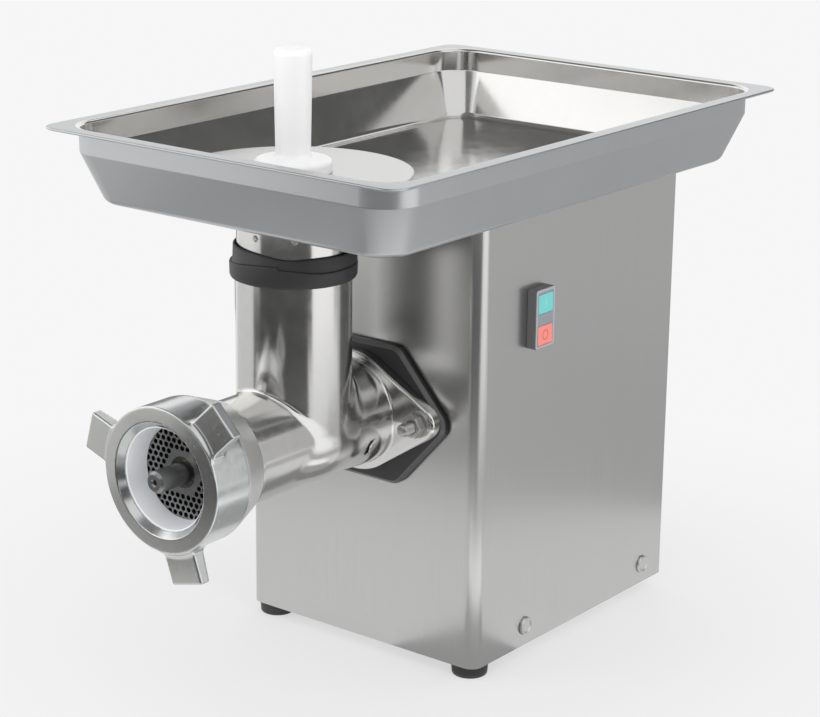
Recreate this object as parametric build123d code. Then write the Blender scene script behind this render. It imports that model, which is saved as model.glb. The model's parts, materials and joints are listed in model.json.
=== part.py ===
from build123d import *
import math
import os

# Electric meat grinder. Millimetres, +Z up, +Y towards the rear, +X towards the switch side.
# The origin lies on the floor, under the middle of the overall box.

# Clearances and sheet
SHEET = 1.5
BODY_GAP = 0.3
RUN_FIT = 0.05
HOLE_GAP = 0.4
CUT = 1.0

# Casing
FOOT_HEIGHT = 12.0
BODY_LEFT = -140.0
BODY_RIGHT = 133.0
BODY_FRONT = -58.0
BODY_BACK = 259.0
BODY_TOP = 439.2
BODY_BEND = 12.0
RETURN_LIP = 15.0
LID_FLANGE = 20.5
LID_FLANGE_FRONT = -30.0
LID_FLANGE_BACK = 230.0
BASE_Z = 14.0
BASE_THICK = 3.0
BASE_FLANGE = 28.0
BASE_FLANGE_FRONT = -30.0
BASE_FLANGE_BACK = 240.0
BASE_VENT_X = (-105.0, -93.0, 93.0, 105.0)
BASE_VENT_WIDTH = 6.0
BASE_VENT_FRONT = 60.0
BASE_VENT_BACK = 150.0
BODY_WIDTH = BODY_RIGHT - BODY_LEFT
BODY_X = (BODY_LEFT + BODY_RIGHT) / 2
HALF_WIDTH = BODY_WIDTH / 2

# Feet and side caps
FOOT_INSET = 18.5
REAR_FOOT_INSET = 45.0
FOOT_R_TOP = 17.5
FOOT_R_BOTTOM = 16.5
FOOT_BOSS_R = 14.0
FOOT_SHOULDER_GAP = 0.2
FOOT_RECESS_R = 7.5
FOOT_RECESS = 8.0
BOLT_R = 4.0
BOLT_HEAD_R = 6.5
BOLT_HEAD = 4.5
BOLT_REACH = 10.0
BOLT_NUT_FLATS = 13.0
BOLT_NUT_THICK = 6.5
CAP_R = 9.0
CAP_HEIGHT = 3.5
CAP_EDGE = 1.0
CAP_CROWN_R = 6.0
CAP_SHANK = 14.0
CAP_Y = (22.0, 225.0)
CAP_Z = 31.5

# Rear cover
COVER_INSET = 3.0
COVER_BOTTOM = 18.0
COVER_TOP = 438.0
REAR_SCREW_Z = (60.0, 227.0, 394.0)
REAR_SCREW_R = 2.0
REAR_SCREW_LENGTH = 9.0
REAR_HEAD_R = 4.2
REAR_HEAD = 2.6
REAR_HEAD_EDGE = 1.2
REAR_HEAD_CROWN_R = 2.6
REAR_SLOT = 1.2
LOUVRE_X = 48.0
LOUVRE_Z = 150.0
LOUVRE_STEP = 24.0
LOUVRE_ROWS = 9
LOUVRE_R = 7.0
LOUVRE_LENGTH = 68.0

# Cable gland
GLAND_X = -92.0
GLAND_Z = 70.0
GLAND_R = 10.0
GLAND_BORE_R = 4.5
GLAND_FLATS = 24.0
GLAND_NUT_FLATS = 27.0
GLAND_NUT_THICK = 6.0
GLAND_DOME_R = 11.0
GLAND_MOUTH_R = 7.5
GLAND_DOME_EDGE = 20.0
GLAND_OUTSIDE = 25.0
GLAND_INSIDE = 12.0

# Head
HEAD_Z = 242.0
BARREL_R = 47.8
BARREL_BORE_R = 43.0
TUBE_Y = -155.0
TUBE_R = 51.6
TUBE_BORE_R = 47.0
TUBE_TOP = 397.0
HEEL_DEPTH = 46.0
GASKET_THICK = 8.0
GASKET_POINT_X = 105.0
GASKET_FLAT_X = 46.0
GASKET_FLAT_Z = 66.0
GASKET_POINT_ROUND = 16.0
GASKET_FLAT_ROUND = 16.0
GASKET_EDGE = 2.0
FLANGE_THICK = 11.0
FLANGE_R = 58.0
FLANGE_EDGE = 2.5
EAR_R = 16.5
EAR_RISE = 3.0
NECK_START_Y = -124.0
NECK_R = 50.5
COLLAR_R = 51.6
COLLAR_BACK_Y = -252.0
COLLAR_FRONT_Y = -298.0
COLLAR_EDGE = 1.5
COLLAR_SLOPE_BACK = 4.0
COLLAR_SLOPE_FRONT = 2.0
DRAIN_Y = -104.0
DRAIN_ANGLE = 24.0
DRAIN_WIDTH = 6.0
DRAIN_HEIGHT = 18.0
DRAIN_INNER = 30.0
DRAIN_OUTER = 60.0
STUD_X = 80.0
STUD_Z = HEAD_Z + EAR_RISE
STUD_R = 6.0
STUD_TIP_Y = -103.0
STUD_ROOM = 30.0
STUD_HOLE_GAP = 0.5
WASHER_R = 12.0
WASHER_THICK = 2.5
NUT_FLATS = 19.0
NUT_THICK = 10.0
NUT_CORNER_R = 11.2
NUT_CHAMFER_R = 9.2
NUT_CHAMFER = 1.0
FLANGE_BACK = BODY_FRONT - GASKET_THICK
FLANGE_FRONT = FLANGE_BACK - FLANGE_THICK
WASHER_FRONT = FLANGE_FRONT - WASHER_THICK

# Discharge end
PLATE_R = 49.0
PLATE_FRONT = -300.0
PLATE_THICK = 10.0
PLATE_SEAT_GAP = 0.2
PLATE_BACK = PLATE_FRONT + PLATE_THICK
HOLE_R = 2.25
HOLE_PITCH = 6.2
HOLE_FIELD_INNER = 20.5
HOLE_FIELD_OUTER = 43.5
BUSH_R = 14.0
BUSH_RECESS = 3.0
BUSH_FIT = 0.08
PIN_R = 9.75
PIN_TIP_Y = -335.0
PIN_ROOT_Y = -262.0
PIN_CHAMFER = 2.5
PIN_CENTRE_R = 3.6
PIN_DRILL_R = 2.2
PIN_DRILL = 5.0
PIN_DRILL_POINT = 7.0
PIN_CENTRE = 1.5
KEY_R = 2.2
KEY_START = 2.0
KEY_LENGTH = 14.0
RING_FRONT = -329.0
RING_R = 64.4
RING_LENGTH = 73.0
RING_TAPER = 30.0
RING_TAPER_ROUND = 3.0
RING_TAIL_R = 53.4
RING_EDGE = 1.0
RING_LIP = 7.0
RING_MOUTH_R = 50.8
RING_LIP_R = 45.2
RING_LIP_LAND = 1.0
RING_POCKET_R = 49.5
RING_POCKET = 3.0
RING_THREAD_GAP = 0.4
RING_BACK = RING_FRONT + RING_LENGTH
LUG_ANGLES = (44.5, 164.5, 284.5)
LUG_TIP_R = 93.0
LUG_ROOT = 8.0
LUG_WIDTH = 35.0
LUG_THICK = 13.0
LUG_SETBACK = 5.0
LUG_EDGE = 1.8
SPACER_R = 48.7
SPACER_BACK_R = 41.4
SPACER_FRONT_R = 44.6
SPACER_EDGE = 0.8

# Auger and knife
AUGER_FRONT = -276.0
AUGER_BACK = -78.0
AUGER_PITCH = 44.0
FLIGHT_END = -92.0
FLIGHT_R = 42.5
FLIGHT_ARC = 50.0
CORE_R = 21.0
HUB_R = 24.0
KNIFE_ROOM_R = 46.5
KNIFE_ROOM_BACK = -280.0
KNIFE_HUB_R = 17.0
KNIFE_ARMS = 4
KNIFE_ARM_ROOT = 12.0
KNIFE_ARM_TIP = 43.0
KNIFE_ARM_THICK = 9.0
KNIFE_ARM_WIDTH = 14.0
KNIFE_BEVEL = 38.0
KNIFE_BEVEL_REACH = 8.0

# Tray and guard
TRAY_WIDTH = 400.0
TRAY_FRONT = -265.0
TRAY_BACK = 335.0
TRAY_TOP = 509.0
TRAY_FLOOR = BODY_TOP + BODY_GAP
TRAY_RIM = 14.5
TRAY_RIM_THICK = 2.5
TRAY_RIM_EDGE = 1.0
TRAY_RIM_CORNER = 16.0
TRAY_CORNER = 36.0
TRAY_BAND = 22.5
TRAY_SLOPE_INSET = 18.7
TRAY_FLOOR_EDGE = 9.0
TRAY_NECK = 16.0
TRAY_Y = (TRAY_FRONT + TRAY_BACK) / 2
TRAY_LENGTH = TRAY_BACK - TRAY_FRONT
CHUTE_R = 50.0
CHUTE_SHEET = 1.6
CHUTE_BOTTOM = TUBE_TOP + 1.0
RIVET_Z = 428.0
RIVET_ANGLES = (-90.0, -48.0, 90.0, 132.0)
RIVET_R = 1.6
RIVET_HEAD_R = 3.0
RIVET_CROWN_R = 1.8
RIVET_HEAD = 1.4
GUARD_R = 105.0
GUARD_TOP = 479.2
GUARD_THICK = 2.0
GUARD_EDGE = 0.8
GUARD_HOLE_R = 26.0
GUARD_FRONT = -243.0
PILLAR_CIRCLE_R = 88.0
PILLAR_ANGLES = (45.0, 135.0, 225.0, 315.0)
PILLAR_R = 5.0

# Pusher and sleeve
PUSHER_TOP = 586.5
PUSHER_ROD_R = 25.0
PUSHER_ROD_END = 312.0
PUSHER_ROD_EDGE = 3.0
PUSHER_COLLAR_R = 34.2
PUSHER_COLLAR = 11.0
PUSHER_COLLAR_EDGE = 4.0
PUSHER_GRIP_R = 15.3
PUSHER_GRIP_ROOT = 5.0
PUSHER_KNOB_R = 16.8
PUSHER_KNOB = 8.0
PUSHER_KNOB_EDGE = 6.0
SLEEVE_BOTTOM = 386.5
SLEEVE_TOP = 400.5
SLEEVE_R = 56.5
SLEEVE_EDGE = 2.0
SLEEVE_LIP_R = 54.0
SLEEVE_LIP_TOP = 413.0
SLEEVE_LIP_EDGE = 1.0
SLEEVE_SLANT = 4.0
SLEEVE_SLANT_DROP = 4.0

# Switch
SWITCH_Y = 28.0
SWITCH_Z = 333.4
SWITCH_WIDTH = 30.0
SWITCH_HEIGHT = 56.0
SWITCH_PROUD = 10.0
SWITCH_CORNER = 3.0
SWITCH_EDGE = 1.5
SWITCH_CUTOUT_INSET = 2.0
SWITCH_NECK_INSET = 2.4
SWITCH_NECK = 8.0
BUTTON_WIDTH = 22.6
BUTTON_HEIGHT = 18.2
BUTTON_OFFSET = 14.8
BUTTON_DROP = 0.9
BUTTON_PROUD = 0.2
BUTTON_THICK = 10.0
BUTTON_CORNER = 1.5
BUTTON_EDGE = 0.8
PLUNGER_R = 3.6
PLUNGER_BORE_R = 4.0
PLUNGER_END = 10.0
PLUNGER_BORE = 6.0
CONTACT_DEPTH = 30.0
CONTACT_WIDTH = 24.0
CONTACT_HEIGHT = 51.0

# Gear train: motor and output share the head axis, the countershaft lies below
CENTRE_DISTANCE = 80.0
COUNTER_Z = HEAD_Z - CENTRE_DISTANCE
FIRST_MODULE = 2.0
MOTOR_PINION_TEETH = 20
COUNTER_GEAR_TEETH = 60
SECOND_MODULE = 2.5
COUNTER_PINION_TEETH = 18
OUTPUT_GEAR_TEETH = 46
PRESSURE_ANGLE = 20.0
BACKLASH = 0.25
ADDENDUM = 0.95
DEDENDUM = 1.2
FLANK_STEPS = 5
LEAST_EDGE = 0.01
WEB_HOLES = 6
WEB_CIRCLE_R = 36.0
OUTPUT_WEB_HOLE_R = 9.0
COUNTER_WEB_HOLE_R = 10.0
OUTPUT_GEAR_Y = (-38.0, -12.0)
COUNTER_PINION_Y = (-39.0, -11.0)
COUNTER_GEAR_Y = (14.0, 30.0)
MOTOR_PINION_Y = (13.0, 31.0)
OUTPUT_SHAFT_R = 17.5
OUTPUT_SHAFT_FRONT = -75.0
OUTPUT_TAIL_R = 12.5
OUTPUT_TAIL_OVERHANG = 2.0
SQUARE_DRIVE = 24.0
SQUARE_FRONT = -98.0
SQUARE_SOCKET_GAP = 0.1
SQUARE_SOCKET_FRONT = -98.5
COUNTER_SHAFT_R = 12.5
COUNTER_JOURNAL_R = 8.5
COUNTER_END_GAP = 2.5
COUNTER_SHOULDER_GAP = 0.5

# Gearbox
CASE_FRONT = -56.2
CASE_WALL = 14.0
CASE_BACK = 40.0
CASE_HALF_WIDTH = 82.0
CASE_SHELL = 8.0
COVER_BACK = 52.0
COVER_SEAT = 2.0
BRIDGE_FRONT = -8.0
BRIDGE_BACK = 6.0
SPIGOT_R = 42.8
SPIGOT_FRONT = -72.0
SPIGOT_GAP = 0.2
SPIGOT_HOLE_GAP = 1.0
SEAL_INSET = 0.5
SEAL_THICK = 7.0
SEAL_FIT = 0.08
SHAFT_ROOM = 4.0
SHAFT_HOLE_GAP = 2.0
OUTPUT_BEARING_R = 36.0
OUTPUT_BEARING_BACK = -47.0
BRIDGE_BEARING_R = 26.0
BRIDGE_COUNTER_HOLE_R = 30.0
COUNTER_BEARING_R = 20.0
MOTOR_BEARING_R = 23.5
MOTOR_BEARING_FRONT = 36.0
BEARING_THICK = 12.0
RACE_SHARE = 0.25
RACE_GROOVE = 1.0
CASE_SCREW_R = 2.5
CASE_SCREW_DEPTH = 13.0
CASE_SCREW_HEAD_R = 5.0
CASE_SCREW_HEAD = 6.0
CASE_SCREW_SOCKET = 4.0
CASE_SCREW_ANGLES = (20.0, 90.0, 160.0)
CASE_FACE = CASE_FRONT + CASE_WALL

# Motor
MOTOR_R = 72.0
MOTOR_BORE_R = 66.0
MOTOR_BACK = 208.0
SHIELD_BACK = 222.0
FIN_R = 79.0
FIN_ROOT = 2.0
FIN_THICK = 2.8
FIN_COUNT = 28
FIN_FRONT = 70.0
FIN_BACK = 196.0
FIN_SEAT_R = math.hypot(FIN_R, FIN_THICK / 2) + RUN_FIT
STATOR_BORE_R = 41.0
STATOR_FRONT = 76.0
STATOR_BACK = 176.0
SLOT_COUNT = 24
SLOT_DEPTH = 14.0
SLOT_WIDTH = 3.6
WINDING_INNER_R = 44.0
WINDING_OUTER_R = 62.0
WINDING_LENGTH = 14.0
WINDING_ROUND = 6.0
ROTOR_R = 40.4
ROTOR_BORE_R = 15.0
ROTOR_SHOULDER = 12.0
CAGE_RING = 8.0
CAGE_INSET = 3.0
CAGE_INNER_R = 24.0
MOTOR_SHAFT_R = 10.0
MOTOR_SHAFT_FRONT = 11.0
MOTOR_SHAFT_BACK = 242.0
MOTOR_SHAFT_EDGE = 1.0
FAN_FRONT = 226.0
FAN_BACK = 240.0
FAN_R = 66.0
FAN_HUB_R = 24.0
BLADE_COUNT = 9
BLADE_THICK = 2.4
BLADE_ROOT = 20.0
BLADE_SETBACK = 1.0
COWL_R = 82.0
COWL_FRONT = 204.0
COWL_BACK = 251.0
COWL_RING = (210.0, 212.0)
COWL_SLOTS = 12
COWL_SLOT_INNER = 30.0
COWL_SLOT_OUTER = 70.0
COWL_SLOT_WIDTH = 8.0
TERMINAL_WIDTH = 68.0
TERMINAL_FRONT = 96.0
TERMINAL_BACK = 164.0
TERMINAL_BOTTOM = 60.0
TERMINAL_TOP = 104.0
TERMINAL_WALL = 3.0
TERMINAL_FLOOR = 82.0
TERMINAL_CORNER = 5.0
CRADLE_FRONT = 100.0
CRADLE_BACK = 180.0
CRADLE_FOOT_X = 92.0
CRADLE_FOOT_THICK = 5.0
CRADLE_X = 66.0
CRADLE_WALL = 6.0
CRADLE_TOP = HEAD_Z - 45.0
CRADLE_ARCH = 60.0

# Electrics
RAIL_X = BODY_LEFT + SHEET
RAIL_Z = 386.0
RAIL_FRONT = 60.0
RAIL_BACK = 230.0
RAIL_THICK = 1.0
RAIL_HALF = 13.5
RAIL_HALF_OUTER = 17.5
RAIL_DEPTH = 7.5
CONTACTOR_FRONT = 90.0
CONTACTOR_BACK = 135.0
CONTACTOR_DEPTH = 60.0
CONTACTOR_HALF = 36.0
CONTACTOR_TOWER = 12.0
CONTACTOR_TOWER_INSET = 5.0
CONTACTOR_TOWER_HALF = 22.0
TERMINALS = 3
TERMINAL_STEP = 15.0
TERMINAL_POCKET = 10.0
TERMINAL_POCKET_DEPTH = 20.0
CAPACITOR_R = 22.0
CAPACITOR_X = -60.0
CAPACITOR_FRONT = 150.0
CAPACITOR_BACK = 240.0
CAPACITOR_DROP = 27.0
STRAP_HALF = 25.0
STRAP_FRONT = 185.0
STRAP_BACK = 205.0
STRAP_HEIGHT = 8.0


# Basic solids

def block(x0, x1, y0, y1, z0, z1):
    centre = Pos((x0 + x1) / 2, (y0 + y1) / 2, (z0 + z1) / 2)
    return centre * Box(x1 - x0, y1 - y0, z1 - z0)


def side_block(side, inner_x, outer_x, y0, y1, z0, z1):
    """Block on the left (side -1) or right (side 1) of the middle plane."""
    low, high = sorted((side * inner_x, side * outer_x))
    return block(low, high, y0, y1, z0, z1)


def rod_x(radius, x0, x1, y, z):
    return Pos((x0 + x1) / 2, y, z) * Rot(0, 90, 0) * Cylinder(radius, x1 - x0)


def rod_y(radius, y0, y1, x=0.0, z=HEAD_Z):
    return Pos(x, (y0 + y1) / 2, z) * Rot(90, 0, 0) * Cylinder(radius, y1 - y0)


def rod_z(radius, z0, z1, x=0.0, y=0.0):
    return Pos(x, y, (z0 + z1) / 2) * Cylinder(radius, z1 - z0)


def ring_y(outer, inner, y0, y1, x=0.0, z=HEAD_Z):
    return rod_y(outer, y0, y1, x, z) - rod_y(inner, y0 - CUT, y1 + CUT, x, z)


def along_y(face, y0, y1, x=0.0, z=HEAD_Z):
    """Prism from y0 to y1 of a face drawn with x across and z up."""
    return Pos(x, y1, z) * Rot(90, 0, 0) * extrude(face, y1 - y0)


def hexagon_y(across_flats, y0, y1, x, z):
    return along_y(RegularPolygon(across_flats / math.sqrt(3), 6), y0, y1, x, z)


def hexagon_z(across_flats, z0, z1, x, y):
    return Pos(x, y, z0) * extrude(RegularPolygon(across_flats / math.sqrt(3), 6), z1 - z0)


def turned(outline, rounds):
    """Solid of revolution about Y from (radius, station) points; rounds are (point index, radius)."""
    face = make_face(Polyline(*outline, close=True))
    for index, radius in rounds:
        corner = Vector(*outline[index])
        vertex = min(face.vertices(), key=lambda v: (Vector(v.X, v.Y) - corner).length)
        face = fillet(vertex, radius)
    return revolve(face, Axis.Y)


def turned_y(outline, rounds=(), x=0.0, z=HEAD_Z):
    return Pos(x, 0, z) * turned(outline, rounds)


def turned_z(outline, rounds=(), x=0.0, y=0.0):
    return Pos(x, y, 0) * Rot(90, 0, 0) * turned(outline, rounds)


def polar_point(radius, angle):
    return radius * math.cos(math.radians(angle)), radius * math.sin(math.radians(angle))


def around_head(solid, count, first=0.0):
    """Copies of a solid, drawn about z = 0, set evenly round the head axis from the first angle."""
    angles = [first + 360 / count * index for index in range(count)]
    return [Pos(0, 0, HEAD_Z) * Rot(0, angle, 0) * solid for angle in angles]


def round_hull(circles):
    """Face inside the band stretched round some circles, given as (x, z, radius)."""
    edges = [edge for x, z, radius in circles for edge in (Pos(x, z) * Circle(radius)).edges()]
    return make_hull(edges)


def eared_outline():
    """Round middle with an ear round each stud."""
    return round_hull([(0, 0, FLANGE_R), (STUD_X, EAR_RISE, EAR_R), (-STUD_X, EAR_RISE, EAR_R)])


def group(solids):
    return Compound(children=list(solids))


def fused(solids):
    first, *rest = solids
    return first.fuse(*rest)


# Gears

def involute_flank(base_r, start_r, tip_r, half_angle_at_base):
    """Points of one tooth flank, as (radius, angle from the tooth's middle in radians)."""
    points = []
    for step in range(FLANK_STEPS + 1):
        radius = start_r + (tip_r - start_r) * step / FLANK_STEPS
        roll = math.acos(min(1.0, base_r / radius))
        points.append((radius, half_angle_at_base - (math.tan(roll) - roll)))
    return points


def spur_gear(module, teeth, stations, bore_r, z, tooth_down):
    """Involute spur gear about Y, with a tooth or a gap pointing straight down."""
    pitch_r = module * teeth / 2
    pressure = math.radians(PRESSURE_ANGLE)
    base_r = pitch_r * math.cos(pressure)
    tip_r = pitch_r + ADDENDUM * module
    root_r = pitch_r - DEDENDUM * module
    half_pitch = (math.pi * module / 2 - BACKLASH) / 2 / pitch_r
    half_base = half_pitch + math.tan(pressure) - pressure
    flank = involute_flank(base_r, max(base_r, root_r), tip_r, half_base)
    step = 2 * math.pi / teeth
    first = -math.pi / 2 if tooth_down else -math.pi / 2 + step / 2
    points = []
    for tooth in range(teeth):
        middle = first + tooth * step
        points.append((root_r, middle - flank[0][1]))
        points += [(radius, middle - angle) for radius, angle in flank]
        points += [(radius, middle + angle) for radius, angle in reversed(flank)]
        points.append((root_r, middle + flank[0][1]))
    corners = [(radius * math.cos(angle), radius * math.sin(angle)) for radius, angle in points]
    before = corners[-1:] + corners[:-1]
    distinct = [here for here, last in zip(corners, before) if math.dist(here, last) > LEAST_EDGE]
    front, back = stations
    wheel = along_y(make_face(Polyline(*distinct, close=True)), front, back, 0.0, z)
    return wheel - rod_y(bore_r, front - CUT, back + CUT, 0.0, z)


def web_holes(radius, stations, z, first):
    """Round holes through a gear's web."""
    front, back = stations
    holes = []
    for index in range(WEB_HOLES):
        x, up = polar_point(WEB_CIRCLE_R, first + 360 / WEB_HOLES * index)
        holes.append(rod_y(radius, front - CUT, back + CUT, x, z + up))
    return holes


# Casing

def casing_outline(inset):
    width = BODY_WIDTH - 2 * inset
    depth = BODY_BACK - BODY_FRONT - 2 * inset
    face = Pos(BODY_X, (BODY_BACK + BODY_FRONT) / 2) * Rectangle(width, depth)
    return fillet(face.vertices().group_by(Axis.Y)[0], BODY_BEND - inset)


def cap_places():
    return [(side, y) for side in (-1, 1) for y in CAP_Y]


def foot_places():
    """Front feet near the corners, rear feet further in from the sides."""
    front = (HALF_WIDTH - FOOT_INSET, BODY_FRONT + FOOT_INSET)
    rear = (HALF_WIDTH - REAR_FOOT_INSET, BODY_BACK - FOOT_INSET)
    return [(BODY_X + side * reach, y) for side in (-1, 1) for reach, y in (front, rear)]


def rear_screw_places():
    reach = HALF_WIDTH - RETURN_LIP / 2
    return [(BODY_X + side * reach, z) for side in (-1, 1) for z in REAR_SCREW_Z]


def housing_shell():
    """Front and sides folded from one sheet, with a narrow return along both rear edges."""
    height = BODY_TOP - FOOT_HEIGHT
    shell = extrude(casing_outline(0), height) - extrude(casing_outline(SHEET), height)
    shell = Pos(0, 0, FOOT_HEIGHT) * shell
    back = BODY_BACK - 2 * SHEET
    shell -= block(BODY_LEFT + RETURN_LIP, BODY_RIGHT - RETURN_LIP, back, BODY_BACK + CUT,
                   FOOT_HEIGHT - CUT, BODY_TOP + CUT)
    front = (BODY_FRONT - CUT, BODY_FRONT + 2 * SHEET)
    shell -= rod_y(SPIGOT_R + SPIGOT_HOLE_GAP, *front)
    for side in (-1, 1):
        shell -= rod_y(STUD_R + STUD_HOLE_GAP, *front, side * STUD_X, STUD_Z)
    for side, y in cap_places():
        x = BODY_X + side * HALF_WIDTH
        shell -= rod_x(BOLT_R + HOLE_GAP, x - 2 * SHEET, x + 2 * SHEET, y, CAP_Z)
    half_y = SWITCH_WIDTH / 2 - SWITCH_CUTOUT_INSET
    half_z = SWITCH_HEIGHT / 2 - SWITCH_CUTOUT_INSET
    shell -= block(BODY_RIGHT - 2 * SHEET, BODY_RIGHT + CUT, SWITCH_Y - half_y, SWITCH_Y + half_y,
                   SWITCH_Z - half_z, SWITCH_Z + half_z)
    for x, z in rear_screw_places():
        shell -= rod_y(REAR_SCREW_R + HOLE_GAP, BODY_BACK - 2 * SHEET, BODY_BACK + CUT, x, z)
    return shell


def housing_top():
    """Lid between the folded sides, with an edge turned down at the back and along both sides."""
    lid_under = BODY_TOP - SHEET
    flange_z = (lid_under - LID_FLANGE, lid_under)
    lid = Pos(0, 0, lid_under) * extrude(casing_outline(SHEET), SHEET)
    lid += block(BODY_LEFT + RETURN_LIP, BODY_RIGHT - RETURN_LIP, BODY_BACK - 2 * SHEET, BODY_BACK - SHEET,
                 *flange_z)
    for side in (-1, 1):
        edge = side_block(side, HALF_WIDTH - 2 * SHEET, HALF_WIDTH - SHEET,
                          LID_FLANGE_FRONT, LID_FLANGE_BACK, *flange_z)
        lid += Pos(BODY_X, 0, 0) * edge
    return lid


def louvre(x, z):
    """Pressed hood of one vent, open at its lower side."""
    face = BODY_BACK + SHEET
    half = LOUVRE_LENGTH / 2
    hood = rod_x(LOUVRE_R, x - half, x + half, face, z)
    hood -= rod_x(LOUVRE_R - SHEET, x - half + SHEET, x + half - SHEET, face, z)
    reach = 2 * LOUVRE_R
    hood -= block(x - half - CUT, x + half + CUT, face - reach, face, z - reach, z + reach)
    return hood - block(x - half - CUT, x + half + CUT, face - reach, face + reach, z - reach, z)


def rear_cover():
    face = BODY_BACK + SHEET
    cut = (BODY_BACK - CUT, face + CUT)
    cover = block(BODY_LEFT + COVER_INSET, BODY_RIGHT - COVER_INSET, BODY_BACK, face, COVER_BOTTOM, COVER_TOP)
    for x, z in rear_screw_places():
        cover -= rod_y(REAR_SCREW_R + HOLE_GAP, *cut, x, z)
    cover -= rod_y(GLAND_R + RUN_FIT, *cut, GLAND_X, GLAND_Z)
    heights = [LOUVRE_Z + LOUVRE_STEP * row for row in range(LOUVRE_ROWS)]
    vents = [(BODY_X + side * LOUVRE_X, z) for side in (-1, 1) for z in heights]
    half = LOUVRE_LENGTH / 2 - SHEET
    for x, z in vents:
        cover -= block(x - half, x + half, *cut, z, z + LOUVRE_R - SHEET)
    return fused([cover] + [louvre(x, z) for x, z in vents])


def rear_cover_screws():
    face = BODY_BACK + SHEET
    crown = face + REAR_HEAD
    outline = [(0, face), (REAR_HEAD_R, face), (REAR_HEAD_R, face + REAR_HEAD_EDGE),
               (REAR_HEAD_CROWN_R, crown), (0, crown)]
    screws = []
    for x, z in rear_screw_places():
        screw = turned_y(outline, (), x, z) + rod_y(REAR_SCREW_R, face - REAR_SCREW_LENGTH, face, x, z)
        screw -= block(x - REAR_HEAD_R, x + REAR_HEAD_R, face + REAR_HEAD_EDGE, crown + CUT,
                       z - REAR_SLOT / 2, z + REAR_SLOT / 2)
        screws.append(screw)
    return group(screws)


def base_plate():
    top = BASE_Z + BASE_THICK
    inner = HALF_WIDTH - SHEET
    plate = Pos(0, 0, BASE_Z) * extrude(casing_outline(SHEET), BASE_THICK)
    for side in (-1, 1):
        edge = side_block(side, inner - BASE_THICK, inner, BASE_FLANGE_FRONT, BASE_FLANGE_BACK,
                          top, top + BASE_FLANGE)
        plate += Pos(BODY_X, 0, 0) * edge
    for x, y in foot_places():
        plate -= rod_z(BOLT_R + HOLE_GAP, BASE_Z - CUT, top + CUT, x, y)
    for side, y in cap_places():
        x = BODY_X + side * inner
        plate -= rod_x(BOLT_R, x - 2 * BASE_THICK, x + 2 * BASE_THICK, y, CAP_Z)
    half = BASE_VENT_WIDTH / 2
    for x in BASE_VENT_X:
        plate -= block(x - half, x + half, BASE_VENT_FRONT, BASE_VENT_BACK, BASE_Z - CUT, top + CUT)
    return plate


def rubber_feet():
    shoulder = FOOT_HEIGHT - FOOT_SHOULDER_GAP
    outline = [(BOLT_R, FOOT_RECESS), (FOOT_RECESS_R, FOOT_RECESS), (FOOT_RECESS_R, 0), (FOOT_R_BOTTOM, 0),
               (FOOT_R_TOP, shoulder), (FOOT_BOSS_R, shoulder), (FOOT_BOSS_R, BASE_Z), (BOLT_R, BASE_Z)]
    rounds = ((3, 2.0), (4, 1.0))
    return group(turned_z(outline, rounds, x, y) for x, y in foot_places())


def foot_fasteners():
    """Bolt and nut of each foot."""
    seat = BASE_Z + BASE_THICK
    head = FOOT_RECESS - BOLT_HEAD
    pieces = []
    for x, y in foot_places():
        shank = rod_z(BOLT_R, FOOT_RECESS, seat + BOLT_REACH, x, y)
        pieces.append(rod_z(BOLT_HEAD_R, head, FOOT_RECESS, x, y) + shank)
        nut = hexagon_z(BOLT_NUT_FLATS, seat, seat + BOLT_NUT_THICK, x, y)
        pieces.append(nut - rod_z(BOLT_R, seat - CUT, seat + BOLT_NUT_THICK + CUT, x, y))
    return group(pieces)


def side_cap_screws():
    dome = [(0, 0), (CAP_R, 0), (CAP_R, CAP_EDGE), (CAP_CROWN_R, CAP_HEIGHT), (0, CAP_HEIGHT)]
    crown_round = ((3, 4.0),)
    shank = Pos(0, -CAP_SHANK / 2, 0) * Rot(90, 0, 0) * Cylinder(BOLT_R, CAP_SHANK)
    screw = turned(dome, crown_round) + shank
    return group(Pos(BODY_X + side * HALF_WIDTH, y, CAP_Z) * Rot(0, 0, -90 * side) * screw
                 for side, y in cap_places())


def cable_gland():
    """Gland in the rear cover; no cord is fitted."""
    face = BODY_BACK + SHEET
    tip = face + GLAND_OUTSIDE
    root = face + GLAND_NUT_THICK
    dome = [(0, root), (GLAND_DOME_R, root), (GLAND_DOME_R, face + GLAND_DOME_EDGE),
            (GLAND_MOUTH_R, tip), (0, tip)]
    gland = hexagon_y(GLAND_FLATS, face, root, GLAND_X, GLAND_Z)
    gland += turned_y(dome, ((3, 2.0),), GLAND_X, GLAND_Z)
    gland += rod_y(GLAND_R, face - GLAND_INSIDE, face, GLAND_X, GLAND_Z)
    gland += hexagon_y(GLAND_NUT_FLATS, BODY_BACK - GLAND_NUT_THICK, BODY_BACK, GLAND_X, GLAND_Z)
    return gland - rod_y(GLAND_BORE_R, face - GLAND_INSIDE - CUT, tip + CUT, GLAND_X, GLAND_Z)


# Head

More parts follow.
